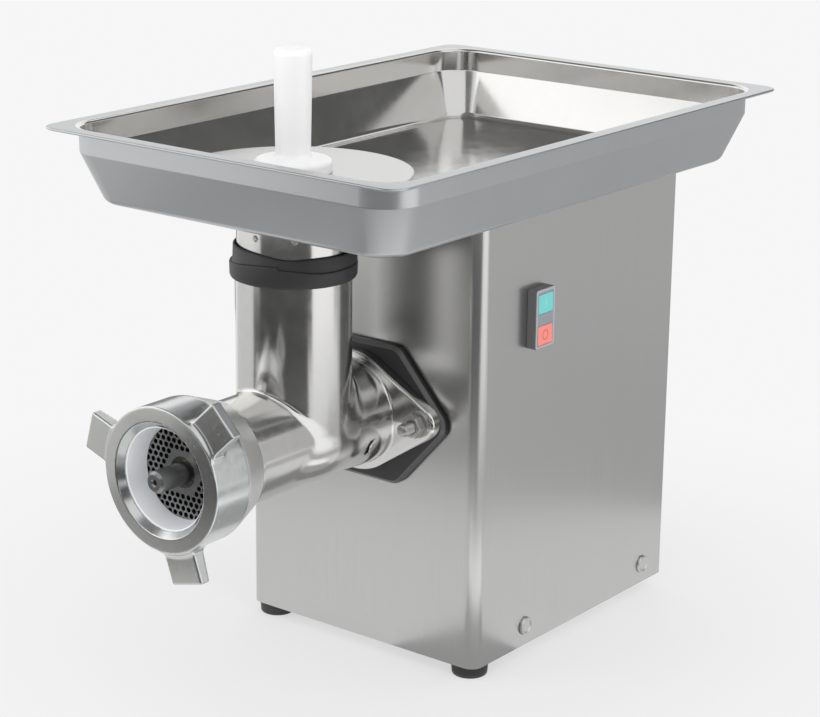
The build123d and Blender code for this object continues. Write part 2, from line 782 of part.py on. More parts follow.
def head_gasket():
    upper = [(GASKET_POINT_X, 0), (GASKET_FLAT_X, GASKET_FLAT_Z), (-GASKET_FLAT_X, GASKET_FLAT_Z)]
    lower = [(-x, -z) for x, z in upper]
    face = make_face(Polyline(*upper, *lower, close=True))
    face = fillet(face.vertices().filter_by(lambda v: abs(v.Y) < CUT), GASKET_POINT_ROUND)
    face = fillet(face.vertices().filter_by(lambda v: abs(v.Y) > GASKET_FLAT_Z - CUT), GASKET_FLAT_ROUND)
    plate = along_y(face, FLANGE_BACK, BODY_FRONT)
    plate = fillet(plate.faces().sort_by(Axis.Y)[0].edges(), GASKET_EDGE)
    plate -= rod_y(SPIGOT_R + SPIGOT_GAP, FLANGE_BACK - CUT, BODY_FRONT + CUT)
    for side in (-1, 1):
        plate -= rod_y(STUD_R + STUD_HOLE_GAP, FLANGE_BACK - CUT, BODY_FRONT + CUT, side * STUD_X, STUD_Z)
    return plate


def head_flange():
    flange = along_y(eared_outline(), FLANGE_FRONT, FLANGE_BACK)
    return fillet(flange.faces().sort_by(Axis.Y)[0].edges(), FLANGE_EDGE)


def head_neck():
    """Barrel's rear end, widening towards the flange."""
    return turned_y([(0, NECK_START_Y), (BARREL_R, NECK_START_Y), (NECK_R, FLANGE_FRONT),
                     (NECK_R, FLANGE_BACK), (0, FLANGE_BACK)])


def head_collar():
    """Barrel's front end, which carries the ring nut's thread."""
    root = COLLAR_BACK_Y + COLLAR_SLOPE_BACK
    return turned_y([(0, COLLAR_FRONT_Y), (COLLAR_R - COLLAR_EDGE, COLLAR_FRONT_Y),
                     (COLLAR_R, COLLAR_FRONT_Y + COLLAR_EDGE), (COLLAR_R, COLLAR_BACK_Y - COLLAR_SLOPE_FRONT),
                     (BARREL_R - CUT, root), (0, root)])


def tube_heel():
    """Rounded foot under the feed tube that runs out into the barrel's underside."""
    heel = rod_z(TUBE_R, HEAD_Z - TUBE_R, HEAD_Z, 0, TUBE_Y)
    return heel & along_y(Ellipse(TUBE_R, HEEL_DEPTH), TUBE_Y - TUBE_R - CUT, TUBE_Y + TUBE_R + CUT)


def drain_slot():
    """Weep slot low on the barrel, just ahead of the flange, on the switch side."""
    half_width, half_height = DRAIN_WIDTH / 2, DRAIN_HEIGHT / 2
    slot = block(DRAIN_INNER, DRAIN_OUTER, -half_width, half_width, -half_height, half_height)
    return Pos(0, DRAIN_Y, HEAD_Z) * Rot(0, DRAIN_ANGLE, 0) * slot


def plate_key_pin():
    """Round key on the seat's upper edge that stops the hole plate from turning."""
    start = PLATE_FRONT + KEY_START
    return rod_y(KEY_R, start, start + KEY_LENGTH, 0.0, HEAD_Z + PLATE_R)


def head_body():
    barrel = rod_y(BARREL_R, COLLAR_BACK_Y, NECK_START_Y)
    tube = rod_z(TUBE_R, HEAD_Z, TUBE_TOP, 0, TUBE_Y)
    head = fused([barrel, head_neck(), head_collar(), head_flange(), tube, tube_heel()])
    open_front = COLLAR_FRONT_Y - CUT
    head -= rod_y(BARREL_BORE_R, open_front, FLANGE_BACK + CUT)
    head -= rod_y(KNIFE_ROOM_R, open_front, KNIFE_ROOM_BACK)
    head -= rod_y(PLATE_R + PLATE_SEAT_GAP, open_front, PLATE_BACK)
    head -= rod_z(TUBE_BORE_R, HEAD_Z, TUBE_TOP + CUT, 0, TUBE_Y)
    for side in (-1, 1):
        head -= rod_y(STUD_R + HOLE_GAP, FLANGE_FRONT - STUD_ROOM, FLANGE_BACK + CUT, side * STUD_X, STUD_Z)
    return head - drain_slot() - plate_key_pin()


def head_studs():
    root = CASE_FACE - 2 * SHEET
    return group(rod_y(STUD_R, STUD_TIP_Y, root, side * STUD_X, STUD_Z) for side in (-1, 1))


def head_washers():
    bore = STUD_R + HOLE_GAP
    return group(ring_y(WASHER_R, bore, WASHER_FRONT, FLANGE_FRONT, side * STUD_X, STUD_Z)
                 for side in (-1, 1))


def head_nuts():
    back = WASHER_FRONT
    front = back - NUT_THICK
    cone = [(0, back), (NUT_CORNER_R, back), (NUT_CORNER_R, front + NUT_CHAMFER),
            (NUT_CHAMFER_R, front), (0, front)]
    nuts = []
    for side in (-1, 1):
        x = side * STUD_X
        nut = hexagon_y(NUT_FLATS, front, back, x, STUD_Z) & turned_y(cone, (), x, STUD_Z)
        nuts.append(nut - rod_y(STUD_R, front - CUT, back + CUT, x, STUD_Z))
    return group(nuts)


# Discharge end

def hole_places():
    """Hexagonal grid of plate holes between the clear centre and the rim, as (x, z) offsets."""
    places = []
    row_step = HOLE_PITCH * math.sqrt(3) / 2
    reach = int(HOLE_FIELD_OUTER / row_step) + 1
    for row in range(-reach, reach + 1):
        shift = HOLE_PITCH / 2 if row % 2 else 0.0
        for column in range(-reach, reach + 1):
            x, z = column * HOLE_PITCH + shift, row * row_step
            if HOLE_FIELD_INNER < math.hypot(x, z) < HOLE_FIELD_OUTER:
                places.append((x, z))
    return places


def perforated_plate():
    face = Circle(PLATE_R) - Circle(BUSH_R) - [Pos(x, z) * Circle(HOLE_R) for x, z in hole_places()]
    plate = along_y(face, PLATE_FRONT, PLATE_BACK)
    notch = rod_y(KEY_R + PLATE_SEAT_GAP, PLATE_FRONT - CUT, PLATE_BACK + CUT, 0.0, HEAD_Z + PLATE_R)
    return plate - notch


def plate_bush():
    return ring_y(BUSH_R, PIN_R + BUSH_FIT, PLATE_FRONT + BUSH_RECESS, PLATE_BACK)


def spacer_ring():
    back = PLATE_FRONT - BODY_GAP
    front = RING_FRONT + RING_LIP + BODY_GAP
    outline = [(SPACER_BACK_R, back), (SPACER_R, back), (SPACER_R, front), (SPACER_FRONT_R, front)]
    return turned_y(outline, ((3, SPACER_EDGE),))


def ring_lug(angle):
    front = RING_FRONT + LUG_SETBACK
    half = LUG_WIDTH / 2
    lug = block(RING_R - LUG_ROOT, LUG_TIP_R, front, front + LUG_THICK, -half, half)
    lug = fillet(lug.edges().filter_by(lambda edge: edge.center().X > RING_R), LUG_EDGE)
    return Pos(0, 0, HEAD_Z) * Rot(0, -angle, 0) * lug


def ring_nut():
    lip = RING_FRONT + RING_LIP
    pocket = PLATE_FRONT - RING_POCKET
    thread = COLLAR_R + RING_THREAD_GAP
    outline = [(RING_MOUTH_R, RING_FRONT), (RING_R, RING_FRONT), (RING_R, RING_BACK - RING_TAPER),
               (RING_TAIL_R, RING_BACK), (thread, RING_BACK), (thread, pocket), (RING_POCKET_R, pocket),
               (RING_POCKET_R, lip), (RING_LIP_R, lip), (RING_LIP_R, lip - RING_LIP_LAND)]
    ring = turned_y(outline, ((1, RING_EDGE), (2, RING_TAPER_ROUND), (3, RING_EDGE)))
    bore = rod_y(thread, lip, RING_BACK + CUT)
    return ring.fuse(*[ring_lug(angle) - bore for angle in LUG_ANGLES])


# Auger body

def output_shaft():
    step = BRIDGE_FRONT - OUTPUT_TAIL_OVERHANG
    end = BRIDGE_BACK + OUTPUT_TAIL_OVERHANG
    outline = [(0, OUTPUT_SHAFT_FRONT), (OUTPUT_SHAFT_R, OUTPUT_SHAFT_FRONT), (OUTPUT_SHAFT_R, step),
               (OUTPUT_TAIL_R, step), (OUTPUT_TAIL_R, end), (0, end)]
    half = SQUARE_DRIVE / 2
    drive = block(-half, half, SQUARE_FRONT, OUTPUT_SHAFT_FRONT, HEAD_Z - half, HEAD_Z + half)
    return turned_y(outline) + drive


def output_gear():
    gear = spur_gear(SECOND_MODULE, OUTPUT_GEAR_TEETH, OUTPUT_GEAR_Y, OUTPUT_SHAFT_R, HEAD_Z, True)
    return gear.cut(*web_holes(OUTPUT_WEB_HOLE_R, OUTPUT_GEAR_Y, HEAD_Z, 0.0))


def auger():
    """Screw made by twisting its cross-section, a round core with one wide lobe, along the axis."""
    half = FLIGHT_ARC / 2
    tip = ThreePointArc(polar_point(FLIGHT_R, -half), (FLIGHT_R, 0), polar_point(FLIGHT_R, half))
    root = ThreePointArc(polar_point(CORE_R, half), (-CORE_R, 0), polar_point(CORE_R, -half))
    section = make_face([tip, Line(tip @ 1, root @ 0), root, Line(root @ 1, tip @ 0)]).face()
    length = FLIGHT_END - AUGER_FRONT
    twist = 360 * length / AUGER_PITCH
    screw = Solid.extrude_linear_with_rotation(section, (0, 0, 0), (0, 0, length), twist)
    screw = Pos(0, FLIGHT_END, HEAD_Z) * Rot(90, 0, 0) * Part(screw.wrapped)
    screw += rod_y(HUB_R, FLIGHT_END, AUGER_BACK)
    socket = SQUARE_DRIVE / 2 + SQUARE_SOCKET_GAP
    screw -= block(-socket, socket, SQUARE_SOCKET_FRONT, AUGER_BACK + CUT, HEAD_Z - socket, HEAD_Z + socket)
    return screw - rod_y(PIN_R, AUGER_FRONT - CUT, PIN_ROOT_Y)


def auger_pin():
    """Journal that carries the knife and runs in the plate's bush, centre-drilled at its tip."""
    return turned_y([(0, PIN_TIP_Y + PIN_DRILL_POINT), (PIN_DRILL_R, PIN_TIP_Y + PIN_DRILL),
                     (PIN_DRILL_R, PIN_TIP_Y + PIN_CENTRE), (PIN_CENTRE_R, PIN_TIP_Y),
                     (PIN_R - PIN_CHAMFER, PIN_TIP_Y), (PIN_R, PIN_TIP_Y + PIN_CHAMFER),
                     (PIN_R, PIN_ROOT_Y), (0, PIN_ROOT_Y)])


def knife():
    front = PLATE_BACK + BODY_GAP
    half = KNIFE_ARM_WIDTH / 2
    arm = block(KNIFE_ARM_ROOT, KNIFE_ARM_TIP, front, front + KNIFE_ARM_THICK, -half, half)
    reach = KNIFE_BEVEL_REACH
    bevel = block(KNIFE_ARM_ROOT - CUT, KNIFE_ARM_TIP + CUT, -reach, reach, 0, reach)
    arm -= Pos(0, front + KNIFE_ARM_THICK, half) * Rot(KNIFE_BEVEL, 0, 0) * bevel
    hub = rod_y(KNIFE_HUB_R, front, AUGER_FRONT)
    return hub.fuse(*around_head(arm, KNIFE_ARMS)) - rod_y(PIN_R, front - CUT, AUGER_FRONT + CUT)


# Countershaft body

def countershaft():
    front = CASE_FRONT + COUNTER_END_GAP
    back = COVER_BACK - COUNTER_END_GAP
    shoulder_front = CASE_FACE + COUNTER_SHOULDER_GAP
    shoulder_back = CASE_BACK - COUNTER_END_GAP
    outline = [(0, front), (COUNTER_JOURNAL_R, front), (COUNTER_JOURNAL_R, shoulder_front),
               (COUNTER_SHAFT_R, shoulder_front), (COUNTER_SHAFT_R, shoulder_back),
               (COUNTER_JOURNAL_R, shoulder_back), (COUNTER_JOURNAL_R, back), (0, back)]
    return turned_y(outline, (), 0.0, COUNTER_Z)


def countershaft_pinion():
    tooth_down = COUNTER_PINION_TEETH % 2 == 1
    return spur_gear(SECOND_MODULE, COUNTER_PINION_TEETH, COUNTER_PINION_Y, COUNTER_SHAFT_R, COUNTER_Z,
                     tooth_down)


def countershaft_gear():
    gear = spur_gear(FIRST_MODULE, COUNTER_GEAR_TEETH, COUNTER_GEAR_Y, COUNTER_SHAFT_R, COUNTER_Z, True)
    return gear.cut(*web_holes(COUNTER_WEB_HOLE_R, COUNTER_GEAR_Y, COUNTER_Z, 180 / WEB_HOLES))


# Rotor body

def motor_shaft():
    front, back = MOTOR_SHAFT_FRONT, MOTOR_SHAFT_BACK
    thick_front = STATOR_FRONT - ROTOR_SHOULDER
    thick_back = STATOR_BACK + ROTOR_SHOULDER
    outline = [(0, front), (MOTOR_SHAFT_R, front), (MOTOR_SHAFT_R, thick_front), (ROTOR_BORE_R, thick_front),
               (ROTOR_BORE_R, thick_back), (MOTOR_SHAFT_R, thick_back), (MOTOR_SHAFT_R, back), (0, back)]
    return turned_y(outline, ((1, MOTOR_SHAFT_EDGE),))


def motor_pinion():
    return spur_gear(FIRST_MODULE, MOTOR_PINION_TEETH, MOTOR_PINION_Y, MOTOR_SHAFT_R, HEAD_Z, False)


def rotor_core():
    """Lamination stack with the short-circuit ring of its cage at each end."""
    core = ring_y(ROTOR_R, ROTOR_BORE_R, STATOR_FRONT, STATOR_BACK)
    for end in (STATOR_FRONT - CAGE_RING, STATOR_BACK):
        core += ring_y(ROTOR_R - CAGE_INSET, CAGE_INNER_R, end, end + CAGE_RING)
    return core


def cooling_fan():
    half = BLADE_THICK / 2
    blade = block(BLADE_ROOT, FAN_R, FAN_FRONT, FAN_BACK - BLADE_SETBACK, -half, half)
    fan = rod_y(FAN_HUB_R, FAN_FRONT, FAN_BACK).fuse(*around_head(blade, BLADE_COUNT))
    return fan - rod_y(MOTOR_SHAFT_R, FAN_FRONT - CUT, FAN_BACK + CUT)


# Gearbox, fixed

def case_outline(inset):
    """Upright outline round both shaft axes, with x across and z measured from the head axis."""
    half = CASE_HALF_WIDTH - inset
    return round_hull([(0, 0, half), (0, -CENTRE_DISTANCE, half)])


def case_screw_places():
    """Places of the cover's screws as (x, z)."""
    ring = CASE_HALF_WIDTH - CASE_SHELL / 2
    places = []
    for angle in CASE_SCREW_ANGLES:
        x, up = polar_point(ring, angle)
        places += [(x, HEAD_Z + up), (x, COUNTER_Z - up)]
    return places


def gearbox_casing():
    """Cast case with two ears behind the head's flange and a spigot that centres the head."""
    case = along_y(case_outline(0), CASE_FRONT, CASE_BACK)
    case -= along_y(case_outline(CASE_SHELL), CASE_FACE, CASE_BACK + CUT)
    ears = along_y(eared_outline(), CASE_FRONT, CASE_FACE)
    case = case.fuse(ears, rod_y(SPIGOT_R, SPIGOT_FRONT, CASE_FRONT))
    case -= rod_y(OUTPUT_BEARING_R, SPIGOT_FRONT - CUT, OUTPUT_BEARING_BACK)
    case -= rod_y(OUTPUT_SHAFT_R + SHAFT_ROOM, SPIGOT_FRONT, CASE_FACE + CUT)
    case -= rod_y(COUNTER_BEARING_R, CASE_FRONT + COVER_SEAT, CASE_FACE + CUT, 0.0, COUNTER_Z)
    for side in (-1, 1):
        case -= rod_y(STUD_R, CASE_FRONT - CUT, CASE_FACE + CUT, side * STUD_X, STUD_Z)
    for x, z in case_screw_places():
        case -= rod_y(CASE_SCREW_R, CASE_BACK - CASE_SCREW_DEPTH - CUT, CASE_BACK + CUT, x, z)
    return case


def bearing_bridge():
    """Wall inside the case that carries the output shaft's tail; the countershaft passes through."""
    bridge = along_y(case_outline(CASE_SHELL), BRIDGE_FRONT, BRIDGE_BACK)
    bridge -= rod_y(BRIDGE_BEARING_R, BRIDGE_FRONT - CUT, BRIDGE_BACK + CUT)
    return bridge - rod_y(BRIDGE_COUNTER_HOLE_R, BRIDGE_FRONT - CUT, BRIDGE_BACK + CUT, 0.0, COUNTER_Z)


def gearbox_cover():
    cover = along_y(case_outline(0), CASE_BACK, COVER_BACK)
    cover -= rod_y(MOTOR_BEARING_R, CASE_BACK - CUT, COVER_BACK - COVER_SEAT)
    cover -= rod_y(MOTOR_SHAFT_R + SHAFT_HOLE_GAP, CASE_BACK - CUT, COVER_BACK + CUT)
    cover -= rod_y(COUNTER_BEARING_R, CASE_BACK - CUT, COVER_BACK - COVER_SEAT, 0.0, COUNTER_Z)
    for x, z in case_screw_places():
        cover -= rod_y(CASE_SCREW_R + HOLE_GAP, CASE_BACK - CUT, COVER_BACK + CUT, x, z)
    return cover


def gearbox_cover_screws():
    screws = []
    for x, z in case_screw_places():
        top = COVER_BACK + CASE_SCREW_HEAD
        screw = rod_y(CASE_SCREW_HEAD_R, COVER_BACK, top, x, z)
        screw -= rod_y(CASE_SCREW_R, top - CASE_SCREW_SOCKET, top + CUT, x, z)
        screws.append(screw + rod_y(CASE_SCREW_R, CASE_BACK - CASE_SCREW_DEPTH, COVER_BACK, x, z))
    return group(screws)


def oil_seal():
    front = SPIGOT_FRONT + SEAL_INSET
    return ring_y(OUTPUT_BEARING_R, OUTPUT_SHAFT_R + SEAL_FIT, front, front + SEAL_THICK)


def bearing(outer, shaft_r, y0, y1, z=HEAD_Z):
    """Ball bearing as one ring with a shallow groove between its races on both faces."""
    inner = shaft_r + RUN_FIT
    race = RACE_SHARE * (outer - inner)
    ring = ring_y(outer, inner, y0, y1, 0.0, z)
    for face in (y0, y1):
        ring -= ring_y(outer - race, inner + race, face - RACE_GROOVE, face + RACE_GROOVE, 0.0, z)
    return ring


def output_bearings():
    front = SPIGOT_FRONT + SEAL_INSET + SEAL_THICK
    main = bearing(OUTPUT_BEARING_R, OUTPUT_SHAFT_R, front, OUTPUT_BEARING_BACK)
    return group([main, bearing(BRIDGE_BEARING_R, OUTPUT_TAIL_R, BRIDGE_FRONT, BRIDGE_BACK)])


def countershaft_bearings():
    fronts = (CASE_FRONT + COVER_SEAT, COVER_BACK - COVER_SEAT - BEARING_THICK)
    return group(bearing(COUNTER_BEARING_R, COUNTER_JOURNAL_R, front, front + BEARING_THICK, COUNTER_Z)
                 for front in fronts)


def motor_bearings():
    stations = ((MOTOR_BEARING_FRONT, COVER_BACK - COVER_SEAT), (MOTOR_BACK, MOTOR_BACK + BEARING_THICK))
    return group(bearing(MOTOR_BEARING_R, MOTOR_SHAFT_R, front, back) for front, back in stations)


# Motor, fixed

def motor_frame():
    half = FIN_THICK / 2
    fin = block(MOTOR_R - FIN_ROOT, FIN_R, FIN_FRONT, FIN_BACK, -half, half)
    tube = ring_y(MOTOR_R, MOTOR_BORE_R, COVER_BACK, MOTOR_BACK)
    return tube.fuse(*around_head(fin, FIN_COUNT, 180 / FIN_COUNT))


def stator_core():
    half = SLOT_WIDTH / 2
    slot = block(STATOR_BORE_R - CUT, STATOR_BORE_R + SLOT_DEPTH, STATOR_FRONT - CUT, STATOR_BACK + CUT,
                 -half, half)
    core = ring_y(MOTOR_BORE_R, STATOR_BORE_R, STATOR_FRONT, STATOR_BACK)
    return core.cut(*around_head(slot, SLOT_COUNT))


def stator_windings():
    rings = []
    for inner_end, outer_end in ((STATOR_FRONT, STATOR_FRONT - WINDING_LENGTH),
                                 (STATOR_BACK, STATOR_BACK + WINDING_LENGTH)):
        outline = [(WINDING_INNER_R, outer_end), (WINDING_OUTER_R, outer_end),
                   (WINDING_OUTER_R, inner_end), (WINDING_INNER_R, inner_end)]
        rings.append(turned_y(outline, ((0, WINDING_ROUND), (1, WINDING_ROUND))))
    return group(rings)


def motor_end_shield():
    shield = rod_y(MOTOR_R, MOTOR_BACK, SHIELD_BACK)
    shield -= rod_y(MOTOR_BEARING_R, MOTOR_BACK - CUT, MOTOR_BACK + BEARING_THICK)
    return shield - rod_y(MOTOR_SHAFT_R + SHAFT_HOLE_GAP, MOTOR_BACK - CUT, SHIELD_BACK + CUT)


def fan_cowl():
    cowl = ring_y(COWL_R, COWL_R - SHEET, COWL_FRONT, COWL_BACK)
    cowl = cowl.fuse(rod_y(COWL_R, COWL_BACK - SHEET, COWL_BACK), ring_y(COWL_R, MOTOR_R, *COWL_RING))
    half = COWL_SLOT_WIDTH / 2
    slot = block(COWL_SLOT_INNER, COWL_SLOT_OUTER, COWL_BACK - 2 * SHEET, COWL_BACK + CUT, -half, half)
    return cowl.cut(*around_head(slot, COWL_SLOTS))


def terminal_box():
    half = TERMINAL_WIDTH / 2
    wall = TERMINAL_WALL
    box = block(-half, half, TERMINAL_FRONT, TERMINAL_BACK, HEAD_Z + TERMINAL_BOTTOM, HEAD_Z + TERMINAL_TOP)
    box = fillet(box.edges().filter_by(Axis.Z), TERMINAL_CORNER)
    box -= block(wall - half, half - wall, TERMINAL_FRONT + wall, TERMINAL_BACK - wall,
                 HEAD_Z + TERMINAL_FLOOR, HEAD_Z + TERMINAL_TOP - wall)
    return box - rod_y(FIN_SEAT_R, TERMINAL_FRONT - CUT, TERMINAL_BACK + CUT)


def motor_cradle():
    floor = BASE_Z + BASE_THICK
    foot = floor + CRADLE_FOOT_THICK
    right = [(CRADLE_FOOT_X, floor), (CRADLE_FOOT_X, foot), (CRADLE_X, foot), (CRADLE_X, CRADLE_TOP)]
    left = [(-x, z) for x, z in reversed(right)]
    outer = make_face(Polyline(*right, *left, close=True))
    arch = CRADLE_X - CRADLE_WALL
    arch_top = CRADLE_TOP - CRADLE_ARCH
    inner = make_face(Polyline((-arch, foot), (arch, foot), (arch, arch_top), (-arch, arch_top), close=True))
    cradle = along_y(outer - inner, CRADLE_FRONT, CRADLE_BACK, 0.0, 0.0)
    return cradle - rod_y(FIN_SEAT_R, CRADLE_FRONT - CUT, CRADLE_BACK + CUT)


# Electrics, fixed

def din_rail():
    """Top-hat rail on the casing's left side."""
    thick = RAIL_THICK
    face = RAIL_X + RAIL_DEPTH
    rail = block(RAIL_X, RAIL_X + thick, RAIL_FRONT, RAIL_BACK, RAIL_Z - RAIL_HALF, RAIL_Z + RAIL_HALF)
    for side in (-1, 1):
        low, high = sorted((RAIL_Z + side * (RAIL_HALF - thick), RAIL_Z + side * RAIL_HALF))
        rail += block(RAIL_X, face, RAIL_FRONT, RAIL_BACK, low, high)
        low, high = sorted((RAIL_Z + side * (RAIL_HALF - thick), RAIL_Z + side * RAIL_HALF_OUTER))
        rail += block(face - thick, face, RAIL_FRONT, RAIL_BACK, low, high)
    return rail


def contactor():
    back = RAIL_X + RAIL_DEPTH
    front = back + CONTACTOR_DEPTH
    inset = CONTACTOR_TOWER_INSET
    body = block(back, front, CONTACTOR_FRONT, CONTACTOR_BACK,
                 RAIL_Z - CONTACTOR_HALF, RAIL_Z + CONTACTOR_HALF)
    body += block(front, front + CONTACTOR_TOWER, CONTACTOR_FRONT + inset, CONTACTOR_BACK - inset,
                  RAIL_Z - CONTACTOR_TOWER_HALF, RAIL_Z + CONTACTOR_TOWER_HALF)
    half = TERMINAL_POCKET / 2
    for index in range(TERMINALS):
        y = CONTACTOR_FRONT + TERMINAL_STEP * (index + 0.5)
        for side in (-1, 1):
            middle = RAIL_Z + side * (CONTACTOR_HALF - half + CUT)
            body -= block(front - TERMINAL_POCKET_DEPTH, front + CUT, y - half, y + half,
                          middle - half, middle + half)
    return body


def run_capacitor():
    """Can hung under the lid by a strap."""
    lid = BODY_TOP - SHEET
    can = rod_y(CAPACITOR_R, CAPACITOR_FRONT, CAPACITOR_BACK, CAPACITOR_X, lid - CAPACITOR_DROP)
    strap = block(CAPACITOR_X - STRAP_HALF, CAPACITOR_X + STRAP_HALF, STRAP_FRONT, STRAP_BACK,
                  lid - STRAP_HEIGHT, lid)
    return can + strap


# Switch

def switch_block(x0, x1, inset_y, inset_z):
    """Block centred on the switch, inset from its outline."""
    half_y = SWITCH_WIDTH / 2 - inset_y
    half_z = SWITCH_HEIGHT / 2 - inset_z
    return block(x0, x1, SWITCH_Y - half_y, SWITCH_Y + half_y, SWITCH_Z - half_z, SWITCH_Z + half_z)


def button_z(side):
    return SWITCH_Z - BUTTON_DROP + side * BUTTON_OFFSET


def button_block(side, x0, x1, gap):
    """Block with a button's outline, larger by a gap all round."""
    half_y = BUTTON_WIDTH / 2 + gap
    half_z = BUTTON_HEIGHT / 2 + gap
    z = button_z(side)
    return block(x0, x1, SWITCH_Y - half_y, SWITCH_Y + half_y, z - half_z, z + half_z)


def switch_housing():
    face = BODY_RIGHT + SWITCH_PROUD
    back = BODY_RIGHT - SWITCH_NECK
    frame = fillet(switch_block(BODY_RIGHT, face, 0, 0).edges().filter_by(Axis.X), SWITCH_CORNER)
    frame = fillet(frame.faces().sort_by(Axis.X)[-1].edges(), SWITCH_EDGE)
    frame += switch_block(back, BODY_RIGHT, SWITCH_NECK_INSET, SWITCH_NECK_INSET)
    for side in (-1, 1):
        frame -= button_block(side, back - CUT, face + CUT, BODY_GAP)
    return frame


def switch_contact_block():
    front = BODY_RIGHT - SWITCH_NECK
    inset_y = (SWITCH_WIDTH - CONTACT_WIDTH) / 2
    inset_z = (SWITCH_HEIGHT - CONTACT_HEIGHT) / 2
    body = switch_block(front - CONTACT_DEPTH, front, inset_y, inset_z)
    for side in (-1, 1):
        body -= rod_x(PLUNGER_BORE_R, front - PLUNGER_BORE, front + CUT, SWITCH_Y, button_z(side))
    return body


def push_button(side):
    face = BODY_RIGHT + SWITCH_PROUD + BUTTON_PROUD
    back = face - BUTTON_THICK
    cap = fillet(button_block(side, back, face, 0).edges().filter_by(Axis.X), BUTTON_CORNER)
    cap = fillet(cap.faces().sort_by(Axis.X)[-1].edges(), BUTTON_EDGE)
    return cap + rod_x(PLUNGER_R, BODY_RIGHT - PLUNGER_END, back, SWITCH_Y, button_z(side))


def start_button():
    return push_button(1)


def stop_button():
    return push_button(-1)


# Tray

def tray_form(inset):
    """Solid of the tray's outside, or of its inside when inset by the sheet's thickness."""
    width = TRAY_WIDTH - 2 * (TRAY_RIM + inset)
    length = TRAY_LENGTH - 2 * (TRAY_RIM + inset)
    corner = TRAY_CORNER - inset
    slope = 2 * TRAY_SLOPE_INSET
    crease = TRAY_TOP - TRAY_BAND
    upper = RectangleRounded(width, length, corner)
    lower = RectangleRounded(width - slope, length - slope, corner - TRAY_SLOPE_INSET / 2)
    bowl = loft([Pos(0, TRAY_Y, TRAY_FLOOR + inset) * lower, Pos(0, TRAY_Y, crease) * upper], ruled=True)
    bowl = fillet(bowl.faces().sort_by(Axis.Z)[0].edges(), TRAY_FLOOR_EDGE - inset)
    return bowl.fuse(Pos(0, TRAY_Y, crease) * extrude(upper, TRAY_BAND))


def tray_pan():
    """Pressed tray with a flat rim and a short neck round its feed hole."""
    rim = extrude(RectangleRounded(TRAY_WIDTH, TRAY_LENGTH, TRAY_RIM_CORNER), TRAY_RIM_THICK)
    rim = Pos(0, TRAY_Y, TRAY_TOP - TRAY_RIM_THICK) * rim
    rim = fillet(rim.edges().group_by(Axis.Z)[-1], TRAY_RIM_EDGE)
    pan = tray_form(0).fuse(rim) - tray_form(SHEET)
    neck_r = CHUTE_R - CHUTE_SHEET
    floor_top = TRAY_FLOOR + SHEET
    pan += rod_z(neck_r, TRAY_FLOOR - TRAY_NECK, floor_top, 0, TUBE_Y)
    return pan - rod_z(neck_r - SHEET, TRAY_FLOOR - TRAY_NECK - CUT, floor_top + CUT, 0, TUBE_Y)


def chute_sheet(bottom, top):
    """Length of the chute's tube."""
    tube = rod_z(CHUTE_R, bottom, top, 0, TUBE_Y)
    return tube - rod_z(CHUTE_R - CHUTE_SHEET, bottom - CUT, top + CUT, 0, TUBE_Y)


def on_chute(angle):
    """Place on the chute's outside at a rivet's height, with +Y pointing outwards."""
    return Pos(0, TUBE_Y, RIVET_Z) * Rot(0, 0, angle - 90) * Pos(0, CHUTE_R, 0)


def rivet_shank():
    return Pos(0, -CHUTE_SHEET / 2, 0) * Rot(90, 0, 0) * Cylinder(RIVET_R, 2 * CHUTE_SHEET)


def feed_chute():
    shanks = [on_chute(angle) * rivet_shank() for angle in RIVET_ANGLES]
    return chute_sheet(CHUTE_BOTTOM, TRAY_FLOOR).cut(*shanks)


def chute_rivets():
    """Domed heads that sit on the chute's round outside, each with its shank through the sheet."""
    dome = turned([(0, -RIVET_HEAD), (RIVET_HEAD_R, -RIVET_HEAD), (RIVET_HEAD_R, 0),
                   (RIVET_CROWN_R, RIVET_HEAD), (0, RIVET_HEAD)], ())
    inside = rod_z(CHUTE_R, CHUTE_BOTTOM, TRAY_FLOOR, 0, TUBE_Y)
    sheet = chute_sheet(CHUTE_BOTTOM, TRAY_FLOOR)
    rivets = []
    for angle in RIVET_ANGLES:
        head = on_chute(angle) * dome - inside
        rivets.append(head + (on_chute(angle) * rivet_shank() & sheet))
    return group(rivets)


def guard_plate():
    under = GUARD_TOP - GUARD_THICK
    disc = rod_z(GUARD_R, under, GUARD_TOP, 0, TUBE_Y)
    disc = fillet(disc.edges().group_by(Axis.Z)[-1], GUARD_EDGE)
    disc -= rod_z(GUARD_HOLE_R, under - CUT, GUARD_TOP + CUT, 0, TUBE_Y)
    return disc - block(-GUARD_R, GUARD_R, TRAY_FRONT, GUARD_FRONT, under - CUT, GUARD_TOP + CUT)


def guard_pillars():
    pillars = []
    for angle in PILLAR_ANGLES:
        x, y = polar_point(PILLAR_CIRCLE_R, angle)
        pillars.append(rod_z(PILLAR_R, TRAY_FLOOR + SHEET, GUARD_TOP - GUARD_THICK, x, TUBE_Y + y))
    return group(pillars)


# Pusher and sleeve

def pusher():
    seat = GUARD_TOP + BODY_GAP
    shelf = seat + PUSHER_COLLAR
    outline = [(0, PUSHER_ROD_END), (PUSHER_ROD_R, PUSHER_ROD_END), (PUSHER_ROD_R, seat),
               (PUSHER_COLLAR_R, seat), (PUSHER_COLLAR_R, shelf), (PUSHER_GRIP_R, shelf),
               (PUSHER_KNOB_R, PUSHER_TOP - PUSHER_KNOB), (PUSHER_KNOB_R, PUSHER_TOP), (0, PUSHER_TOP)]
    rounds = ((1, PUSHER_ROD_EDGE), (4, PUSHER_COLLAR_EDGE), (5, PUSHER_GRIP_ROOT), (7, PUSHER_KNOB_EDGE))
    return turned_z(outline, rounds, 0, TUBE_Y)


